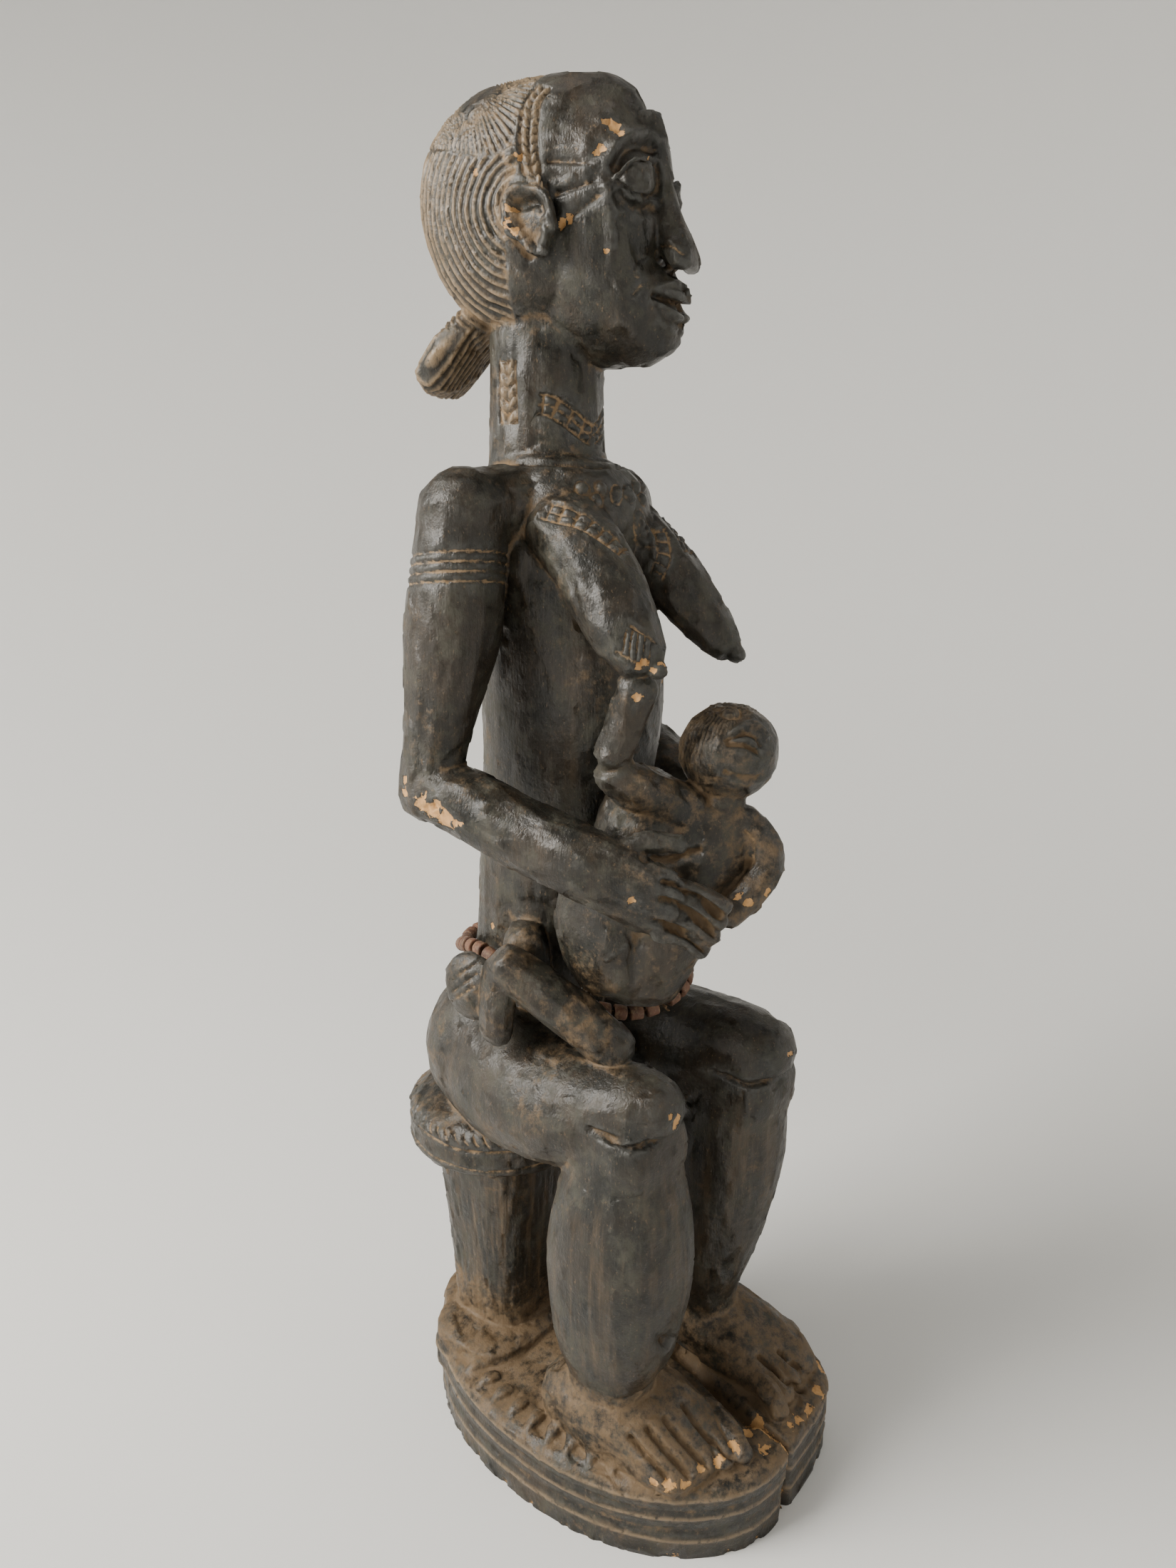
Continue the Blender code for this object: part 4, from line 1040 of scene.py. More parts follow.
def carve_child(carving):
    """The child's face, hair and toes, and her fingers on it."""
    line = carving.seen
    eye = line([CHILD_EYE] * 2, 1)[0]
    carving.boss(eye, (5.0, 4.2), 2.2, dust=0.5)
    for cut, width, depth, dust in (
            (CHILD_EYE_CORNER, 0.9, 1.4, 0.3), (CHILD_BROW, 1.9, -3.0, 0.0), (CHILD_LID, 1.3, 3.4, 0.1),
            (CHILD_UNDER_LID, 1.5, 4.0, 0.0), (CHILD_CHIN, 2.2, 2.4, 0.0), (THUMB_UNDER, 2.2, 3.6, 0.0),
            (CHILD_ELBOW, 1.2, 1.2, 0.3), (CHILD_HIP, 1.6, -1.2, 0.0)):
        carving.groove(line(cut), width, depth, dust)
    carving.boss(line([CHILD_PIT] * 2, 1)[0], (3.0, 2.4), -1.4, dust=0.0)
    for cut in FINGER_CUTS:
        carving.groove(line(cut), 1.9, 6.0, 0.0, ends=0.10)
    for cut in CHILD_TOES:
        carving.groove(line(cut), 1.0, 1.3, 0.4)
    # close-cropped hair: a cap of short cuts
    found = carving.box((-30, -105, 462), (45, -30, 510))
    offset = carving.places[found] - (10, -66, 470)
    cap = fade(carving.outward[found] @ (-0.1, 0.75, 0.65), 0.0, 0.35)
    cuts = np.abs(np.cos(math.pi * (np.arctan2(offset[:, 0], offset[:, 1] + 3) * 9
                                    + mottle(carving.places[found], 7.0, 21) * 0.8)))
    carving.cut[found] += 0.8 * cap * (1 - cuts ** 2)
    crest = 0.4 * cap * fade(cuts, 0.5, 0.9)
    carving.masks["ridge"][found] = np.maximum(carving.masks["ridge"][found], crest)


def carve_below(carving):
    """Toes, the stool's rim and the streaky wood of column and shins."""
    line = carving.seen
    for cut in TOE_CUTS + FAR_TOE_CUTS:
        carving.groove(line(cut), 1.9, 5.5, 0.0)
    carving.groove(line(FEET_GAP), 3.8, 10.0, 0.0)
    # the stool: two grooves round the rim and slanting notches on its upper edge
    x, y = STOOL_CENTRE
    found = carving.box((x - 70, y - 70, STOOL_UNDER - 4), (x + 70, y + 70, STOOL_TOP + 8))
    places = carving.places[found]
    spread = np.hypot(places[:, 0] - x, places[:, 1] - y)
    around = np.arctan2(places[:, 1] - y, places[:, 0] - x)
    rim = fade(spread, STOOL_RADIUS - 5, STOOL_RADIUS - 3)
    for height, width, depth in ((STOOL_TOP - 11, 1.1, 1.4), (STOOL_UNDER + 9, 1.1, 1.2)):
        form = np.exp(-((places[:, 2] - height - 0.8 * np.sin(around * 3)) / width) ** 2) * rim
        carving.cut[found] = np.maximum(carving.cut[found], depth * form)
        carving.masks["dust"][found] = np.maximum(carving.masks["dust"][found], 0.5 * form)
    notches = 1 - np.abs(np.cos(math.pi * (around / (2 * math.pi) * 54 + (places[:, 2] - STOOL_TOP) * 0.12)))
    form = fade(notches, 0.45, 0.95) * fade(places[:, 2], STOOL_TOP - 9, STOOL_TOP - 7.5) * rim
    form *= fade(STOOL_TOP - places[:, 2], -0.5, 1.5)
    carving.cut[found] = np.maximum(carving.cut[found], 1.5 * form)
    carving.masks["dust"][found] = np.maximum(carving.masks["dust"][found], 0.5 * form)
    # gouged, streaky wood on the column and up the shins
    found = carving.box((-70, 30, 56), (60, 125, 186))
    places = carving.places[found]
    around = np.arctan2(places[:, 1] - COLUMN_CENTRE[1], places[:, 0] - COLUMN_CENTRE[0])
    streak = mottle(np.stack((around * 26, places[:, 2] * 0.09, around * 0), axis=1), 1.0, 31)
    carving.cut[found] += 0.5 * np.clip(streak, 0, 1)
    carving.masks["streak"][found] = np.maximum(carving.masks["streak"][found], 0.9)
    height = carving.places[:, 2]
    carving.masks["streak"] += 0.30 * fade(height, 275, 225) * fade(height, 50, 80)
    carving.masks["streak"] += 0.2


def carve_base(carving):
    """The base: worn edges with bites out of them, a raised line, and the crack in its front."""
    found = carving.box((-120, -150, -9), (130, 160, 62))
    places = carving.places[found]
    angle = np.arctan2(places[:, 1] / BASE_BACK, (places[:, 0] - BASE_SHIFT) / BASE_HALF_WIDTH)
    edge = np.exp(-((places[:, 2] - 1.0) / 4.0) ** 2) * fade(carving.outward[found][:, 2], 0.9, -0.2)
    bites = fade(mottle(places * (1, 1, 0.4), 4.5, 41), 0.1, 0.8) * edge
    upper = np.exp(-((places[:, 2] - BASE_HEIGHT + 1) / 3.0) ** 2)
    nicks = fade(mottle(places, 6.0, 43), 0.35, 0.85) * upper
    side = fade(np.hypot(carving.outward[found][:, 0], carving.outward[found][:, 1]), 0.3, 0.7)
    carving.cut[found] += 1.3 * bites * side + 1.2 * nicks * side
    worn_through = 0.55 * bites * side + 0.3 * nicks * side
    carving.masks["bare"][found] = np.maximum(carving.masks["bare"][found], worn_through)
    for height, lift in ((13.0, 0.5), (29.0, 0.9), (41.5, 0.9)):
        form = np.exp(-((places[:, 2] - height - 0.7 * np.sin(angle * 4 + height)) / 1.2) ** 2) * side
        carving.proud[found] = np.maximum(carving.proud[found], lift * form)
        carving.masks["ridge"][found] = np.maximum(carving.masks["ridge"][found], 0.8 * form)
    # the crack: a notch in the front rim that narrows upward, its left part a little proud
    aside = places[:, 0] - CRACK_PLACE[0] - (places[:, 2] - 20) * 0.08
    front = fade(-places[:, 1], 90, 104)
    split = np.exp(-(aside / (1.6 + 0.05 * np.clip(40 - places[:, 2], 0, 40))) ** 2) * front
    carving.cut[found] = np.maximum(carving.cut[found], CRACK_DEPTH * split)
    splinter = np.exp(-((aside + 2.6) / 0.9) ** 2) * front * fade(places[:, 2], 6, 16)
    carving.proud[found] = np.maximum(carving.proud[found], 1.2 * splinter)
    carving.masks["bare"][found] = np.maximum(carving.masks["bare"][found], 0.8 * np.maximum(split, splinter))


class Nodes:
    """Short forms for laying out the nodes of one tree."""

    def __init__(self, tree):
        self.tree = tree
        self.count = 0

    def add(self, kind, inputs=None, **settings):
        """A node with its settings, and its inputs set or linked."""
        node = self.tree.nodes.new(kind)
        node.location = (self.count % 8 * 190 - 900, 500 - self.count // 8 * 260)
        self.count += 1
        for name, value in settings.items():
            setattr(node, name, value)
        for name, value in (inputs or {}).items():
            if isinstance(value, bpy.types.NodeSocket):
                self.tree.links.new(value, node.inputs[name])
            else:
                node.inputs[name].default_value = value
        return node

    def math(self, operation, a, b=0.0, c=0.0, clamp=False):
        return self.add("ShaderNodeMath", {0: a, 1: b, 2: c}, operation=operation, use_clamp=clamp).outputs[0]

    def ease(self, value, start, end):
        """0 at start, 1 at end, smooth between."""
        return self.add("ShaderNodeMapRange", {"Value": value, "From Min": start, "From Max": end},
                        interpolation_type="SMOOTHSTEP").outputs["Result"]

    def mix(self, share, a, b):
        node = self.add("ShaderNodeMix", data_type="RGBA")
        for socket, value in ((node.inputs[0], share), (node.inputs[6], a), (node.inputs[7], b)):
            if isinstance(value, bpy.types.NodeSocket):
                self.tree.links.new(value, socket)
            else:
                socket.default_value = value
        return node.outputs[2]

    def noise(self, vector, size, detail=3.0, roughness=0.55, stretch=None):
        """Noise whose patches are about size metres wide."""
        if stretch:
            vector = self.add("ShaderNodeMapping", {"Vector": vector, "Scale": stretch}).outputs[0]
        return self.add("ShaderNodeTexNoise", {"Vector": vector, "Scale": 1 / size, "Detail": detail,
                                               "Roughness": roughness}).outputs["Fac"]


def shader_group(name, inputs, outputs):
    """A new shader node group with its sockets; returns the group and its inner nodes' maker."""
    group = bpy.data.node_groups.new(name, "ShaderNodeTree")
    for socket_name, kind, default in inputs:
        socket = group.interface.new_socket(socket_name, in_out="INPUT", socket_type=kind)
        if default is not None:
            socket.default_value = default
    for socket_name, kind in outputs:
        group.interface.new_socket(socket_name, in_out="OUTPUT", socket_type=kind)
    nodes = Nodes(group)
    return group, nodes, nodes.add("NodeGroupInput").outputs, nodes.add("NodeGroupOutput")


FLOAT, COLOUR, VECTOR = "NodeSocketFloat", "NodeSocketColor", "NodeSocketVector"


def dust_group():
    """Ochre dust that lies where a mask allows it, broken up by fine noise."""
    group, nodes, given, result = shader_group(
        "lying_dust",
        [("Vector", VECTOR, None), ("Surface", COLOUR, (0.1, 0.1, 0.1, 1)),
         ("Dust", COLOUR, (0.2, 0.14, 0.08, 1)), ("Mask", FLOAT, 0.5), ("Patch Size", FLOAT, 0.006)],
        [("Color", COLOUR), ("Cover", FLOAT)])
    scale = nodes.math("DIVIDE", 1.0, given["Patch Size"])
    broad = nodes.add("ShaderNodeTexNoise", {"Vector": given["Vector"], "Scale": scale, "Detail": 8.0,
                                             "Roughness": 0.74}).outputs["Fac"]
    lifted = nodes.math("MULTIPLY_ADD", broad, 2.4, nodes.math("ADD", given["Mask"], -1.2))
    cover = nodes.math("MULTIPLY", nodes.ease(lifted, 0.20, 0.80), nodes.ease(given["Mask"], 0.0, 0.25))
    nodes.tree.links.new(nodes.mix(cover, given["Surface"], given["Dust"]), result.inputs["Color"])
    nodes.tree.links.new(cover, result.inputs["Cover"])
    return group


def grain_group():
    """Fine lengthwise grain and pores, as a height from 0 to 1 and a streak mask."""
    group, nodes, given, result = shader_group(
        "fine_grain",
        [("Vector", VECTOR, None), ("Width", FLOAT, 0.0012), ("Stretch", VECTOR, (1, 1, 0.12))],
        [("Height", FLOAT), ("Streaks", FLOAT)])
    drawn = nodes.add("ShaderNodeVectorMath", {0: given["Vector"], 1: given["Stretch"]},
                      operation="MULTIPLY").outputs["Vector"]
    scale = nodes.math("DIVIDE", 1.0, given["Width"])
    fine = nodes.add("ShaderNodeTexNoise", {"Vector": drawn, "Scale": scale, "Detail": 3.0,
                                            "Roughness": 0.6}).outputs["Fac"]
    broad = nodes.add("ShaderNodeTexNoise", {"Vector": drawn, "Scale": nodes.math("MULTIPLY", scale, 0.16),
                                             "Detail": 4.0, "Roughness": 0.7}).outputs["Fac"]
    nodes.tree.links.new(nodes.math("MULTIPLY_ADD", broad, 0.5, nodes.math("MULTIPLY", fine, 0.5)),
                         result.inputs["Height"])
    nodes.tree.links.new(nodes.ease(broad, 0.45, 0.75), result.inputs["Streaks"])
    return group


def place_group(nodes, group, **inputs):
    """Puts a node group into a material and sets or links its inputs."""
    node = nodes.add("ShaderNodeGroup", node_tree=group)
    for name, value in inputs.items():
        socket = node.inputs[name.replace("_", " ")]
        if isinstance(value, bpy.types.NodeSocket):
            nodes.tree.links.new(value, socket)
        else:
            socket.default_value = value
    return node.outputs


def new_material(name):
    """A material with its Principled node and a maker for further nodes."""
    material = bpy.data.materials.new(name)
    material.use_nodes = True
    nodes = Nodes(material.node_tree)
    shader = material.node_tree.nodes["Principled BSDF"]
    shader.location = (900, 300)
    material.node_tree.nodes["Material Output"].location = (1200, 300)
    return material, nodes, shader


def mask(nodes, name):
    """A mask that the carving has stored on the skin."""
    return nodes.add("ShaderNodeAttribute", attribute_name=name).outputs["Fac"]


def wood_material(colours, dust, grain):
    """Black, handled wood: a satin patina worn grey on what stands proud, where the grey is also a painted
    sheen, brown dust in what lies deep, tan wood where it is chipped."""
    material, nodes, shader = new_material("blackened_wood")
    place = nodes.add("ShaderNodeTexCoord").outputs["Object"]
    link = nodes.tree.links.new
    grains = place_group(nodes, grain, Vector=place, Width=0.0011)
    broad = nodes.noise(place, 0.035, 4.0, 0.6)
    fine = nodes.noise(place, 0.0035, 4.0, 0.6)
    film = mask(nodes, "film")
    black = nodes.mix(nodes.ease(broad, 0.35, 0.7), colours.black, colours.brown)
    streaks = place_group(nodes, grain, Vector=place, Width=0.0016, Stretch=(1, 1, 0.06))
    drawn = nodes.math("MULTIPLY", mask(nodes, "streak"), streaks["Streaks"])
    black = nodes.mix(drawn, black, colours.film)
    haze = nodes.math("MULTIPLY", nodes.ease(nodes.noise(place, 0.020, 8.0, 0.78), 0.46, 0.66), 0.75)
    black = nodes.mix(haze, black, colours.haze)
    flecks = nodes.ease(nodes.noise(place, 0.0016, 3.0, 0.7, stretch=(1, 1, 0.5)), 0.60, 0.72)
    black = nodes.mix(nodes.math("MULTIPLY", flecks, 0.7), black, colours.film)
    # grey on what stands proud: worn patina together with a painted sheen
    worn_and_sheen = nodes.math("MULTIPLY", mask(nodes, "worn_and_sheen"), nodes.ease(fine, 0.3, 0.6))
    patina = nodes.mix(worn_and_sheen, black, colours.worn_and_sheen)
    filmed = place_group(nodes, dust, Vector=place, Surface=patina, Dust=colours.film, Mask=film,
                         Patch_Size=0.007)
    crest = nodes.math("MULTIPLY", mask(nodes, "ridge"), nodes.ease(fine, 0.26, 0.50))
    combed = nodes.mix(crest, filmed["Color"], colours.crest)
    filled = place_group(nodes, dust, Vector=place, Surface=combed, Dust=colours.dust,
                         Mask=mask(nodes, "dust"), Patch_Size=0.004)
    ragged = nodes.math("MULTIPLY_ADD", nodes.noise(place, 0.0022, 5.0, 0.7), 2.0, -1.0)
    bare = nodes.ease(nodes.math("ADD", mask(nodes, "bare"), ragged), 0.50, 0.56)
    timber = nodes.mix(nodes.noise(place, 0.0016, 3.0, stretch=(1, 1, 0.2)), colours.bare, colours.bare_deep)
    link(nodes.mix(bare, filled["Color"], timber), shader.inputs["Base Color"])
    rough = nodes.math("MULTIPLY_ADD", nodes.noise(place, 0.010, 7.0, 0.8), 0.60, 0.08)
    rough = nodes.math("MULTIPLY_ADD", haze, 0.22, rough)
    rough = nodes.math("MULTIPLY_ADD", filmed["Cover"], 0.28, rough)
    rough = nodes.math("MULTIPLY_ADD", filled["Cover"], 0.30, rough)
    rough = nodes.math("MULTIPLY_ADD", worn_and_sheen, -0.05, rough)
    rough = nodes.math("MULTIPLY_ADD", bare, 0.25, rough, clamp=True)
    link(rough, shader.inputs["Roughness"])
    shader.inputs["Specular IOR Level"].default_value = 0.40
    height = nodes.math("MULTIPLY_ADD", nodes.noise(place, 0.0022, 4.0, 0.65), 0.7, grains["Height"])
    height = nodes.math("MULTIPLY_ADD", nodes.noise(place, 0.007, 3.0, 0.6), 1.6, height)
    height = nodes.math("MULTIPLY_ADD", bare, -1.2, height)
    bump = nodes.add("ShaderNodeBump", {"Strength": 0.7, "Distance": 0.0006, "Height": height})
    link(bump.outputs[0], shader.inputs["Normal"])
    return material


def clay_material(colours, dust, grain):
    """Baked red-brown clay, matt and pitted, with patches of paler dust."""
    material, nodes, shader = new_material("baked_clay")
    place = nodes.add("ShaderNodeTexCoord").outputs["Object"]
    link = nodes.tree.links.new
    tone = nodes.mix(nodes.ease(nodes.noise(place, 0.009, 3.0), 0.35, 0.65), colours.clay, colours.clay_dark)
    pits = nodes.noise(place, 0.0012, 4.0, 0.7)
    dusted = place_group(nodes, dust, Vector=place, Surface=tone, Dust=colours.dust, Mask=0.30,
                         Patch_Size=0.002)
    link(dusted["Color"], shader.inputs["Base Color"])
    link(nodes.math("MULTIPLY_ADD", dusted["Cover"], 0.2, 0.62), shader.inputs["Roughness"])
    bump = nodes.add("ShaderNodeBump", {"Strength": 0.6, "Distance": 0.0003, "Height": pits})
    link(bump.outputs[0], shader.inputs["Normal"])
    return material


def thread_material(colours, dust, grain):
    """Old brown cotton thread, furry and dusty."""
    material, nodes, shader = new_material("brown_thread")
    place = nodes.add("ShaderNodeTexCoord").outputs["Object"]
    link = nodes.tree.links.new
    fibres = place_group(nodes, grain, Vector=place, Width=0.0003, Stretch=(1, 1, 0.5))
    tone = nodes.mix(fibres["Streaks"], colours.thread, colours.film)
    dusted = place_group(nodes, dust, Vector=place, Surface=tone, Dust=colours.dust, Mask=0.35,
                         Patch_Size=0.002)
    link(dusted["Color"], shader.inputs["Base Color"])
    shader.inputs["Roughness"].default_value = 0.9
    bump = nodes.add("ShaderNodeBump", {"Strength": 0.5, "Distance": 0.0002, "Height": fibres["Height"]})
    link(bump.outputs[0], shader.inputs["Normal"])
    return material


def geometry_tree(name, inputs):
    """A new Geometry Nodes tree with a Geometry input and the named inputs after it."""
    tree = bpy.data.node_groups.new(name, "GeometryNodeTree")
    tree.interface.new_socket("Geometry", in_out="INPUT", socket_type="NodeSocketGeometry")
    for socket_name, kind, default in inputs:
        socket = tree.interface.new_socket(socket_name, in_out="INPUT", socket_type=kind)
        if default is not None:
            socket.default_value = default
    tree.interface.new_socket("Geometry", in_out="OUTPUT", socket_type="NodeSocketGeometry")
    nodes = Nodes(tree)
    return tree, nodes, nodes.add("NodeGroupInput").outputs, nodes.add("NodeGroupOutput")


def grown(name, points, tree, values):
    """A mesh object made by a tree on a curve through the points, in millimetres."""
    curve = bpy.data.curves.new(name + "_route", "CURVE")
    curve.dimensions = "3D"
    spline = curve.splines.new("POLY")
    spline.points.add(len(points) - 1)
    for point, place in zip(spline.points, points):
        point.co = (*(Vector(place) * MM), 1.0)
    guide = bpy.data.objects.new(name + "_route", curve)
    bpy.context.scene.collection.objects.link(guide)
    modifier = guide.modifiers.new(name, "NODES")
    modifier.node_group = tree
    sockets = {item.name: item.identifier for item in tree.interface.items_tree if item.in_out == "INPUT"}
    for socket_name, value in values.items():
        modifier[sockets[socket_name]] = value
    mesh = bpy.data.meshes.new_from_object(guide.evaluated_get(bpy.context.evaluated_depsgraph_get()))
    bpy.data.objects.remove(guide, do_unlink=True)
    mesh.name = name
    obj = bpy.data.objects.new(name, mesh)
    bpy.context.scene.collection.objects.link(obj)
    return obj


def bead_tree():
    """Turned beads, evenly strung along a curve, each a little different."""
    tree, nodes, given, result = geometry_tree("strung_beads", [
        ("Count", "NodeSocketInt", 42), ("Bead Radius", FLOAT, 0.0043), ("Hole Radius", FLOAT, 0.0015),
        ("Bead Length", FLOAT, 0.009), ("Rounding", FLOAT, 0.0012), ("Unevenness", FLOAT, 0.0003),
        ("Seed", "NodeSocketInt", 7), ("Material", "NodeSocketMaterial", None)])
    link = nodes.tree.links.new
    wall = nodes.math("SUBTRACT", given["Bead Radius"], given["Hole Radius"])
    middle = nodes.math("MULTIPLY_ADD", wall, 0.5, given["Hole Radius"])
    ring = nodes.add("GeometryNodeCurvePrimitiveCircle", {"Resolution": 18, "Radius": middle})
    section = nodes.add("GeometryNodeCurvePrimitiveQuadrilateral",
                        {"Width": wall, "Height": given["Bead Length"]})
    rounded = nodes.add("GeometryNodeFilletCurve", {"Curve": section.outputs["Curve"],
                                                    "Radius": given["Rounding"], "Count": 3}, mode="POLY")
    bead = nodes.add("GeometryNodeCurveToMesh", {"Curve": ring.outputs["Curve"],
                                                    "Profile Curve": rounded.outputs["Curve"]})
    index = nodes.add("GeometryNodeInputIndex").outputs[0]
    share = nodes.math("DIVIDE", nodes.math("ADD", index, 0.5), given["Count"])
    sample = nodes.add("GeometryNodeSampleCurve", {"Curves": given["Geometry"], "Factor": share},
                       mode="FACTOR", use_all_curves=True)
    dots = nodes.add("GeometryNodePoints", {"Count": given["Count"], "Position": sample.outputs["Position"]})
    aim = nodes.add("FunctionNodeAlignRotationToVector", {"Vector": sample.outputs["Tangent"]}, axis="Z")
    spin = nodes.add("FunctionNodeRandomValue", {"Min": (0, 0, 0), "Max": (0, 0, 6.28),
                                                 "Seed": given["Seed"]}, data_type="FLOAT_VECTOR")
    turned = nodes.add("FunctionNodeRotateRotation", {"Rotation": aim.outputs[0],
                                                      "Rotate By": spin.outputs[0]}, rotation_space="LOCAL")
    size = nodes.add("FunctionNodeRandomValue", {"Min": (0.94, 0.94, 0.90), "Max": (1.06, 1.06, 1.02),
                                                 "Seed": given["Seed"]}, data_type="FLOAT_VECTOR")
    strung = nodes.add("GeometryNodeInstanceOnPoints", {
        "Points": dots.outputs[0], "Instance": bead.outputs["Mesh"], "Rotation": turned.outputs[0],
        "Scale": size.outputs[0]})
    real = nodes.add("GeometryNodeRealizeInstances", {"Geometry": strung.outputs["Instances"]})
    place = nodes.add("GeometryNodeInputPosition").outputs[0]
    dent = nodes.add("ShaderNodeTexNoise", {"Vector": place, "Scale": 260.0, "Detail": 2.0}).outputs["Fac"]
    normal = nodes.add("GeometryNodeInputNormal").outputs[0]
    push = nodes.add("ShaderNodeVectorMath", {0: normal, "Scale": nodes.math(
        "MULTIPLY", nodes.math("SUBTRACT", dent, 0.75), given["Unevenness"])}, operation="SCALE").outputs[0]
    moved = nodes.add("GeometryNodeSetPosition", {"Geometry": real.outputs[0], "Offset": push})
    smooth = nodes.add("GeometryNodeSetShadeSmooth", {"Geometry": moved.outputs[0]})
    dressed = nodes.add("GeometryNodeSetMaterial", {"Geometry": smooth.outputs[0],
                                                    "Material": given["Material"]})
    link(dressed.outputs[0], result.inputs["Geometry"])
    return tree


def thread_tree():
    """Two plies twisted round each other along a curve."""
    tree, nodes, given, result = geometry_tree("twisted_thread", [
        ("Ply Radius", FLOAT, 0.0004), ("Turn Length", FLOAT, 0.0032), ("Step", FLOAT, 0.0006),
        ("Material", "NodeSocketMaterial", None)])
    link = nodes.tree.links.new
    walked = nodes.add("GeometryNodeResampleCurve", {"Curve": given["Geometry"], "Length": given["Step"]},
                       mode="LENGTH")
    length = nodes.add("GeometryNodeSplineParameter").outputs["Length"]
    turn = nodes.math("MULTIPLY", nodes.math("DIVIDE", length, given["Turn Length"]), 2 * math.pi)
    normal = nodes.add("GeometryNodeInputNormal").outputs[0]
    tangent = nodes.add("GeometryNodeInputTangent").outputs[0]
    binormal = nodes.add("ShaderNodeVectorMath", {0: tangent, 1: normal},
                         operation="CROSS_PRODUCT").outputs[0]
    plies = nodes.add("GeometryNodeJoinGeometry")
    for sign in (1.0, -1.0):
        parts = []
        for vector, swing in ((normal, "COSINE"), (binormal, "SINE")):
            aside = nodes.math("MULTIPLY", given["Ply Radius"], sign)
            reach = nodes.math("MULTIPLY", nodes.math(swing, turn), aside)
            part = nodes.add("ShaderNodeVectorMath", {0: vector, "Scale": reach}, operation="SCALE")
            parts.append(part.outputs[0])
        offset = nodes.add("ShaderNodeVectorMath", {0: parts[0], 1: parts[1]}, operation="ADD").outputs[0]
        ply = nodes.add("GeometryNodeSetPosition", {"Geometry": walked.outputs[0], "Offset": offset})
        round_ply = nodes.add("GeometryNodeCurvePrimitiveCircle",
                              {"Resolution": 6, "Radius": given["Ply Radius"]})
        solid = nodes.add("GeometryNodeCurveToMesh", {"Curve": ply.outputs[0],
                                                      "Profile Curve": round_ply.outputs["Curve"],
                                                      "Fill Caps": True})
        link(solid.outputs[0], plies.inputs[0])
    real = nodes.add("GeometryNodeRealizeInstances", {"Geometry": plies.outputs[0]})
    smooth = nodes.add("GeometryNodeSetShadeSmooth", {"Geometry": real.outputs[0]})
    dressed = nodes.add("GeometryNodeSetMaterial", {"Geometry": smooth.outputs[0],
                                                    "Material": given["Material"]})
    link(dressed.outputs[0], result.inputs["Geometry"])
    return tree


def cutter_box(low, high):
    """A box between two corners, in metres."""
    bm = bmesh.new()
    bmesh.ops.create_cube(bm, size=1.0)
    middle, size = (Vector(low) + Vector(high)) / 2, Vector(high) - Vector(low)
    bmesh.ops.transform(bm, matrix=Matrix.Translation(middle) @ Matrix.Diagonal((*size, 1.0)), verts=bm.verts)
    return new_object("floor_cutter", bm)


def cutter_tube(places, radius, sides):
    """A closed tube through a ring of places, in millimetres."""
    places = np.array(places)
    tangents = np.roll(places, -1, axis=0) - np.roll(places, 1, axis=0)
    bm = bmesh.new()
    rings = []
    for place, tangent in zip(places, tangents):
        tangent = Vector(tangent).normalized()
        across = tangent.cross(Vector((0, 0, 1))).normalized()
        up = across.cross(tangent)
        spokes = [across * math.cos(turn) + up * math.sin(turn)
                  for turn in np.linspace(0, 2 * math.pi, sides, endpoint=False)]
        rings.append([bm.verts.new((Vector(place) + spoke * radius) * MM) for spoke in spokes])
    for lower, upper in zip(rings, rings[1:] + rings[:1]):
        for k in range(sides):
            n = (k + 1) % sides
            bm.faces.new((lower[k], lower[n], upper[n], upper[k]))
    bmesh.ops.recalc_face_normals(bm, faces=bm.faces)
    return new_object("channel_cutter", bm)


def cut_away(obj, cutters):
    """Takes the cutters out of an object and drops them."""
    for cutter in cutters:
        modifier = obj.modifiers.new("cut", "BOOLEAN")
        modifier.operation = "DIFFERENCE"
        modifier.solver = "MANIFOLD"
        modifier.object = cutter
    applied(obj)
    for cutter in cutters:
        bpy.data.objects.remove(cutter, do_unlink=True)


def weather(carving):
    """The masks that the finish reads: brown film in hollows and where hands don't reach, and worn
    edges whose grey is also a painted sheen."""
    places, outward, masks = carving.places, carving.outward, carving.masks
    near, wide = carving.hollows((5, 40))
    broad = mottle(places, 30.0, 71)
    fine = mottle(places, 7.0, 72)
    up = np.clip(outward[:, 2], 0, 1)
    film = 0.12 + 0.75 * fade(wide, 0.2, 1.6) + 0.18 * broad + 0.10 * fine
    height = places[:, 2]
    film += 0.40 * fade(height, 106, 84) * fade(height, 38, 46)
    film += 0.28 * up * fade(height, 236, 222) * fade(height, 200, 214)
    child = fade(np.linalg.norm((places - (-8, -60, 420)) / (46, 46, 95), axis=1), 1.15, 0.85)
    film += 0.20 * child
    legs = fade(np.linalg.norm((places - (-62, 15, 330)) / (34, 58, 42), axis=1), 1.15, 0.85)
    film += 0.18 * legs
    forward, _, _ = head_frame(places)
    hair = fade(-forward, -14, 4) * fade(height, 684, 700)
    film += 0.02 * hair
    face = fade(forward, 8, 16) * fade(height, 664, 672) * fade(height, 800, 790)
    knees = fade(height, 244, 256) * fade(height, 300, 288) * fade(-places[:, 1], 10, 30)
    shins = fade(height, 90, 110) * fade(height, 190, 130) * fade(-places[:, 1], -20, 0)
    film -= 0.45 * face + 0.40 * knees + 0.20 * shins
    masks["film"] += film
    # proud edges turn grey: worn patina together with a painted sheen
    masks["worn_and_sheen"] += fade(-near, 0.03, 0.22) * 0.8 + 0.2 * fade(broad, 0.2, 0.8)
    masks["dust"] += 0.45 * fade(near, 0.18, 0.5) * fade(fine, -0.2, 0.6) * (1 - face) * (1 - knees)


def colour(label, value):
    """A colour property of the finishes."""
    return FloatVectorProperty(name=label, description=f"Colour: {label.lower()}", subtype="COLOR", size=4,
                               min=0.0, max=1.0, default=(*value, 1.0))


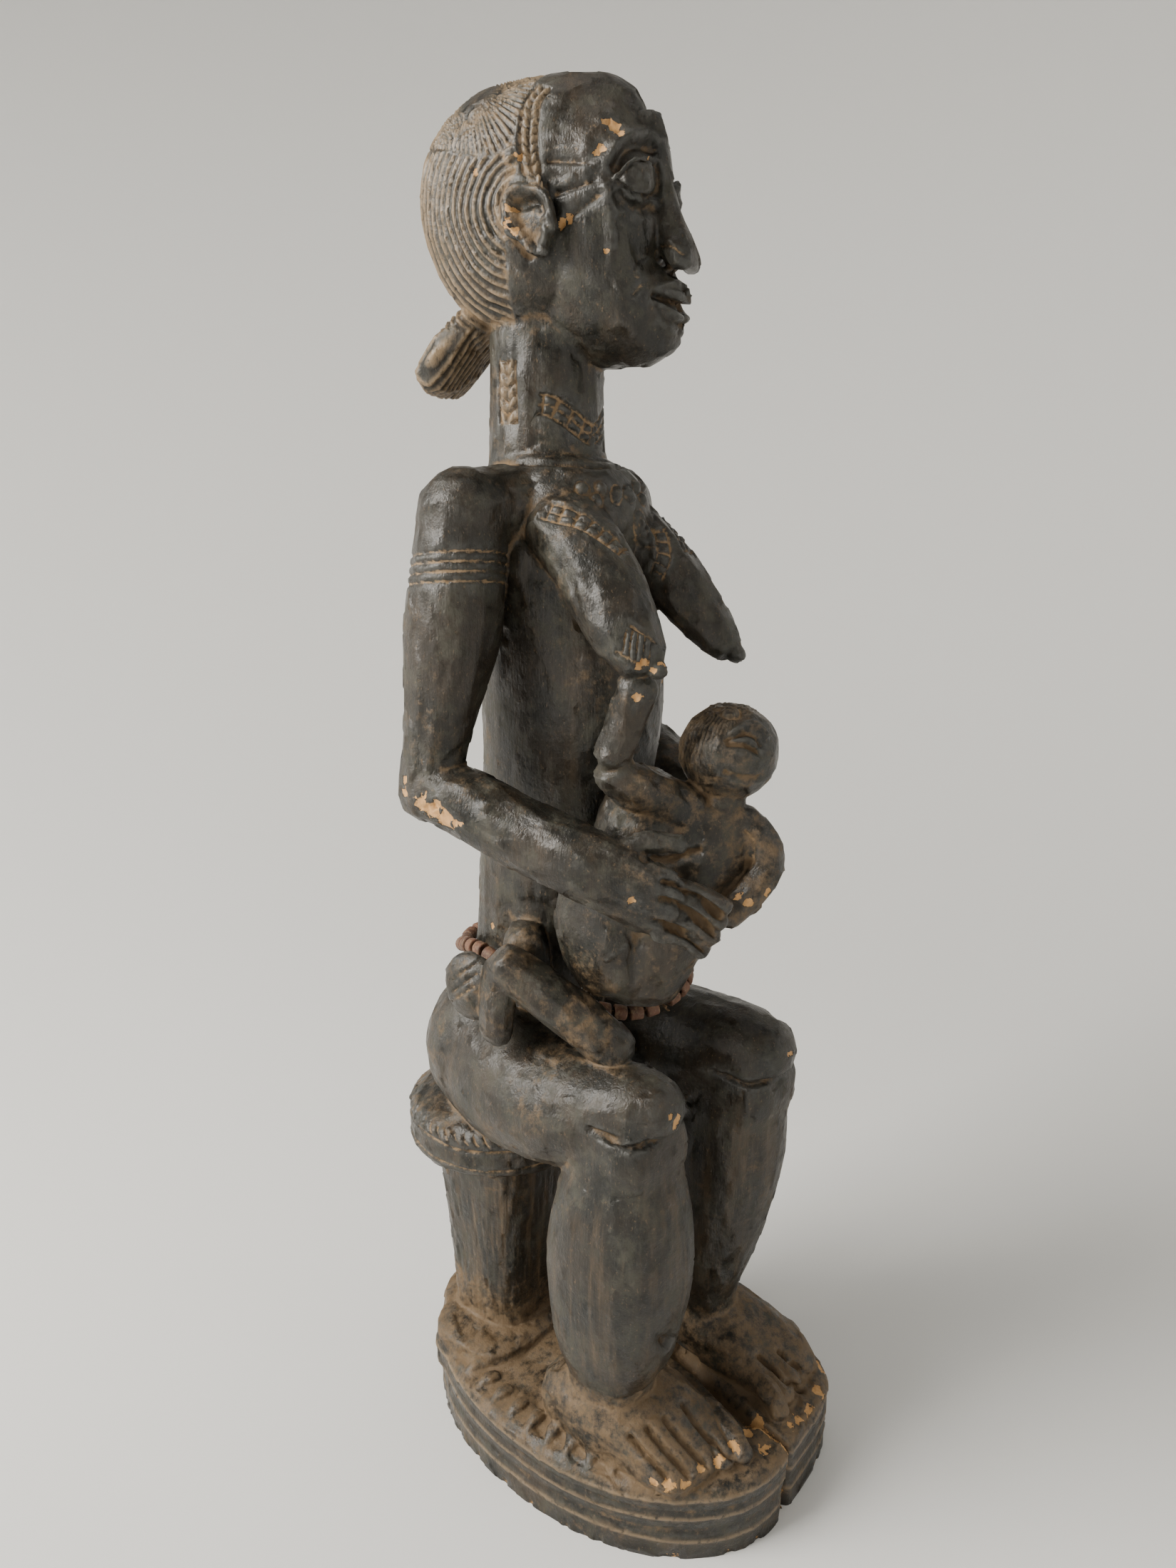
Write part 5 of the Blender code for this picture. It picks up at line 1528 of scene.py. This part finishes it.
class FinishColours(bpy.types.PropertyGroup):
    """Colours of the wood, its dust, the clay and the thread"""
    black: colour("Black patina", (0.0080, 0.0082, 0.0066))
    haze: colour("Dusty grey haze", (0.050, 0.048, 0.035))
    brown: colour("Brown patina", (0.024, 0.018, 0.012))
    # grey of proud edges: worn patina together with a painted sheen
    worn_and_sheen: colour("Worn grey and painted sheen", (0.046, 0.046, 0.042))
    film: colour("Brown film", (0.120, 0.080, 0.043))
    crest: colour("Crests of the combed hair", (0.215, 0.152, 0.088))
    dust: colour("Dust in the cuts", (0.230, 0.155, 0.085))
    bare: colour("Bare wood", (0.60, 0.36, 0.15))
    bare_deep: colour("Bare wood, darker grain", (0.36, 0.185, 0.07))
    clay: colour("Baked clay", (0.130, 0.054, 0.029))
    clay_dark: colour("Baked clay, darker", (0.060, 0.026, 0.016))
    thread: colour("Thread", (0.12, 0.07, 0.035))


class FigureSizes(bpy.types.PropertyGroup):
    """How finely the carving is worked"""
    voxel: FloatProperty(name="Skin step", description="Step of the skin before it is thinned",
                         default=0.001, min=0.0005, max=0.01, unit="LENGTH", precision=4)
    triangles: IntProperty(name="Triangles", description="Triangles of the finished carving",
                           default=197000, min=5000, max=199000)
    facets: FloatProperty(name="Adze marks", description="How flat the adze leaves each facet",
                          default=0.8, min=0.0, max=1.0, subtype="FACTOR")


class BeadSizes(bpy.types.PropertyGroup):
    """The string of beads"""
    count: IntProperty(name="Beads", description="Number of beads", default=BEAD_COUNT, min=1, max=200)
    radius: FloatProperty(name="Bead radius", description="Radius of the largest bead",
                          default=BEAD_RADIUS * MM, unit="LENGTH", precision=4)
    hole: FloatProperty(name="Hole radius", description="Radius of a bead's hole",
                        default=BEAD_HOLE_RADIUS * MM, unit="LENGTH", precision=4)
    uneven: FloatProperty(name="Unevenness", description="How lumpy the hand-rolled beads are",
                          default=0.0006, unit="LENGTH", precision=4)
    ply: FloatProperty(name="Ply radius", description="Radius of each of the thread's two plies",
                       default=0.00038, unit="LENGTH", precision=5)


class StageSizes(bpy.types.PropertyGroup):
    """Camera, floor and lights"""
    floor: FloatVectorProperty(name="Floor colour", description="Colour of floor and backdrop",
                               subtype="COLOR", size=4, min=0.0, max=1.0, default=(0.74, 0.74, 0.73, 1.0))
    key_power: FloatProperty(name="Key light", description="Power of the large soft light", default=110.0,
                             min=0.0, unit="POWER")
    fill_power: FloatProperty(name="Fill light", description="Power of the fill light", default=9.0,
                              min=0.0, unit="POWER")


def used_groups():
    """The two node groups that the finishes share, made the first time they are asked for."""
    made = bpy.data.node_groups
    return made.get("lying_dust") or dust_group(), made.get("fine_grain") or grain_group()


class OBJECT_OT_carve_figure(bpy.types.Operator):
    """Carve the mother, the child, the stool and the base from one block"""
    bl_idname = "object.carve_figure"
    bl_label = "Carved figure"

    def execute(self, context):
        sizes = context.scene.figure_sizes
        figure = fuse(base_forms() + stool_forms() + leg_forms() + torso_forms() + arm_forms()
                      + head_forms() + child_forms(), sizes.voxel * (1.0))
        carving = Carving(figure)
        carve_head(carving)
        carve_body(carving)
        carve_child(carving)
        carve_below(carving)
        carve_base(carving)
        for pixel, radius in CHIPS:
            rows = carving.seen([pixel] * 2, 1)
            if len(rows):
                carving.chip(rows[0], radius)
        weather(carving)
        carving.cut -= carving.adze(ADZE_FACETS, 61) * sizes.facets
        carving.finish()
        thin(figure, sizes.triangles // (1))
        route, at = strand_route()
        channel = [at(route * i / 120) for i in range(120)]
        knot = at(route * KNOT_PLACE)
        cut_away(figure, [
            cutter_box((-0.3, -0.3, -0.1), (0.3, 0.3, 0.0)),
            cutter_tube(channel, BEAD_RADIUS + CHANNEL_CLEARANCE, 20),
            ball(knot, (KNOT_POCKET,) * 3)])
        places = np.empty(len(figure.data.vertices) * 3, np.float32)
        figure.data.vertices.foreach_get("co", places)
        places = np.clip(places.reshape(-1, 3), np.array(CAD_LOW), np.array(CAD_HIGH))
        figure.data.vertices.foreach_set("co", places.astype(np.float32).ravel())
        figure.data.shade_smooth()
        figure.data.materials.clear()
        figure.data.materials.append(wood_material(context.scene.finish_colours, *used_groups()))
        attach(figure, "root")
        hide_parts("carved_figure")
        return {"FINISHED"}


class OBJECT_OT_string_beads(bpy.types.Operator):
    """String the clay beads round her hips"""
    bl_idname = "object.string_beads"
    bl_label = "Waist beads"

    def execute(self, context):
        sizes = context.scene.bead_sizes
        route, at = strand_route()
        start = route * KNOT_PLACE + KNOT_GAP / 2
        pitch = (route - KNOT_GAP) / sizes.count
        points = [at(start + pitch * sizes.count * i / 300) for i in range(301)]
        material = clay_material(context.scene.finish_colours, *used_groups())
        beads = grown("waist_beads", points, bead_tree(), {
            "Count": sizes.count, "Bead Radius": sizes.radius, "Hole Radius": sizes.hole,
            "Bead Length": pitch * BEAD_LENGTH_SHARE * MM, "Unevenness": sizes.uneven, "Material": material})
        beads.data.materials.clear()
        beads.data.materials.append(material)
        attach(beads, "root")
        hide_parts(*[f"bead_{i + 1:02d}" for i in range(BEAD_COUNT)])
        return {"FINISHED"}


class OBJECT_OT_tie_thread(bpy.types.Operator):
    """Lay the twisted thread through the beads and tie it"""
    bl_idname = "object.tie_thread"
    bl_label = "Thread"

    def execute(self, context):
        sizes = context.scene.bead_sizes
        route, at = strand_route()
        tied = route * KNOT_PLACE
        knot = at(tied)
        points = [at(tied + 0.8 + (route - 1.6) * i / 400) for i in range(401)]
        loop = []
        for i in range(25):
            turn = 2 * math.pi * i / 12
            loop.append(knot + np.array((math.cos(turn) * 1.0, math.sin(turn) * 0.9, (i - 12) * 0.06)))
        tails = []
        for end in TAIL_ENDS:
            tip = knot + np.array(end)
            tails.append([knot * (1 - share) + tip * share + np.array((0, 0, -0.8 * math.sin(share * 3)))
                          for share in np.linspace(0, 1, 8)])
        material = thread_material(context.scene.finish_colours, *used_groups())
        tree = thread_tree()
        values = {"Ply Radius": sizes.ply, "Material": material}
        pieces = [grown("bead_thread", points, tree, values), grown("knot", loop, tree, values)]
        pieces += [grown("tail", tail, tree, values) for tail in tails]
        bm = bmesh.new()
        for piece in pieces:
            bm.from_mesh(piece.data)
            bpy.data.objects.remove(piece, do_unlink=True)
        thread = new_object("bead_thread", bm)
        thread.data.shade_smooth()
        thread.data.materials.clear()
        thread.data.materials.append(material)
        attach(thread, "root")
        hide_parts("bead_string")
        return {"FINISHED"}


class OBJECT_OT_photo_stage(bpy.types.Operator):
    """Set the pale floor, the soft lights and the camera"""
    bl_idname = "object.photo_stage"
    bl_label = "Stage"

    def execute(self, context):
        stage = context.scene.stage_sizes
        # a wide shallow bowl: level under the figure and rising far behind it
        profile = [(0.0, 0.0)]
        for share in np.linspace(0, 1, 48):
            profile.append((0.45 + 2.75 * share, 3.6 * share ** 2.8))
        bm = bmesh.new()
        sides = 96
        turns = [2 * math.pi * k / sides for k in range(sides)]
        rings = [[bm.verts.new((r * math.cos(turn), r * math.sin(turn), z)) for turn in turns]
                 for r, z in profile[1:]]
        bm.faces.new(rings[0])
        for lower, upper in zip(rings, rings[1:]):
            for k in range(sides):
                n = (k + 1) % sides
                bm.faces.new((lower[k], upper[k], upper[n], lower[n]))
        floor = new_object("floor", bm)
        floor.data.shade_smooth()
        material, _, shader = new_material("pale_paper")
        shader.inputs["Base Color"].default_value = stage.floor
        shader.inputs["Roughness"].default_value = 0.9
        shader.inputs["Specular IOR Level"].default_value = 0.15
        floor.data.materials.append(material)
        for name, place, aim, power, size in (
                ("key", (-1.55, 1.0, 1.55), (0, 0, 0.40), stage.key_power, (1.1, 1.7)),
                ("fill", (0.7, -2.1, 1.5), (0, 0, 0.4), stage.fill_power, (1.6, 1.6)),
                ("top", (0.1, 0.1, 2.8), (0, 0, 0.4), stage.fill_power, (2.0, 2.0))):
            light = bpy.data.lights.new(name, "AREA")
            light.shape = "RECTANGLE"
            light.size, light.size_y = size
            light.energy = power
            light.color = (1.0, 0.96, 0.89)
            lamp = bpy.data.objects.new(name, light)
            context.scene.collection.objects.link(lamp)
            lamp.location = place
            lamp.rotation_euler = (Vector(aim) - Vector(place)).to_track_quat("-Z", "Y").to_euler()
        world = bpy.data.worlds.new("studio")
        world.use_nodes = True
        world.node_tree.nodes["Background"].inputs["Color"].default_value = (0.86, 0.84, 0.80, 1)
        world.node_tree.nodes["Background"].inputs["Strength"].default_value = 0.20
        context.scene.world = world
        lens = bpy.data.cameras.new("camera")
        lens.lens = CAMERA_LENS
        lens.sensor_width = CAMERA_SENSOR
        camera = bpy.data.objects.new("camera", lens)
        context.scene.collection.objects.link(camera)
        camera.location = CAMERA_PLACE
        camera.rotation_euler = (math.radians(90 - CAMERA_DIP), 0, -math.radians(CAMERA_BEARING))
        context.scene.camera = camera
        return {"FINISHED"}


OPERATORS = (OBJECT_OT_carve_figure, OBJECT_OT_string_beads, OBJECT_OT_tie_thread, OBJECT_OT_photo_stage)
SETTINGS = {"figure_sizes": FigureSizes, "bead_sizes": BeadSizes, "finish_colours": FinishColours,
            "stage_sizes": StageSizes}


class VIEW3D_PT_carving(bpy.types.Panel):
    """Lists the pieces of the carving"""
    bl_idname = "VIEW3D_PT_carving"
    bl_label = "Carved mother and child"
    bl_space_type = "VIEW_3D"
    bl_region_type = "UI"
    bl_category = "Carving"

    def draw(self, context):
        for operator in OPERATORS:
            self.layout.operator(operator.bl_idname)
        for name, group in SETTINGS.items():
            box = self.layout.box()
            for prop in group.__annotations__:
                box.prop(getattr(context.scene, name), prop)


CLASSES = (*SETTINGS.values(), *OPERATORS, VIEW3D_PT_carving)


def register():
    for cls in CLASSES:
        bpy.utils.register_class(cls)
    for name, group in SETTINGS.items():
        setattr(bpy.types.Scene, name, PointerProperty(type=group))


def unregister():
    for name in SETTINGS:
        delattr(bpy.types.Scene, name)
    for cls in reversed(CLASSES):
        bpy.utils.unregister_class(cls)


def main():
    register()
    bpy.ops.object.carve_figure()
    bpy.ops.object.string_beads()
    bpy.ops.object.tie_thread()
    bpy.ops.object.photo_stage()


if __name__ == "__main__":
    main()
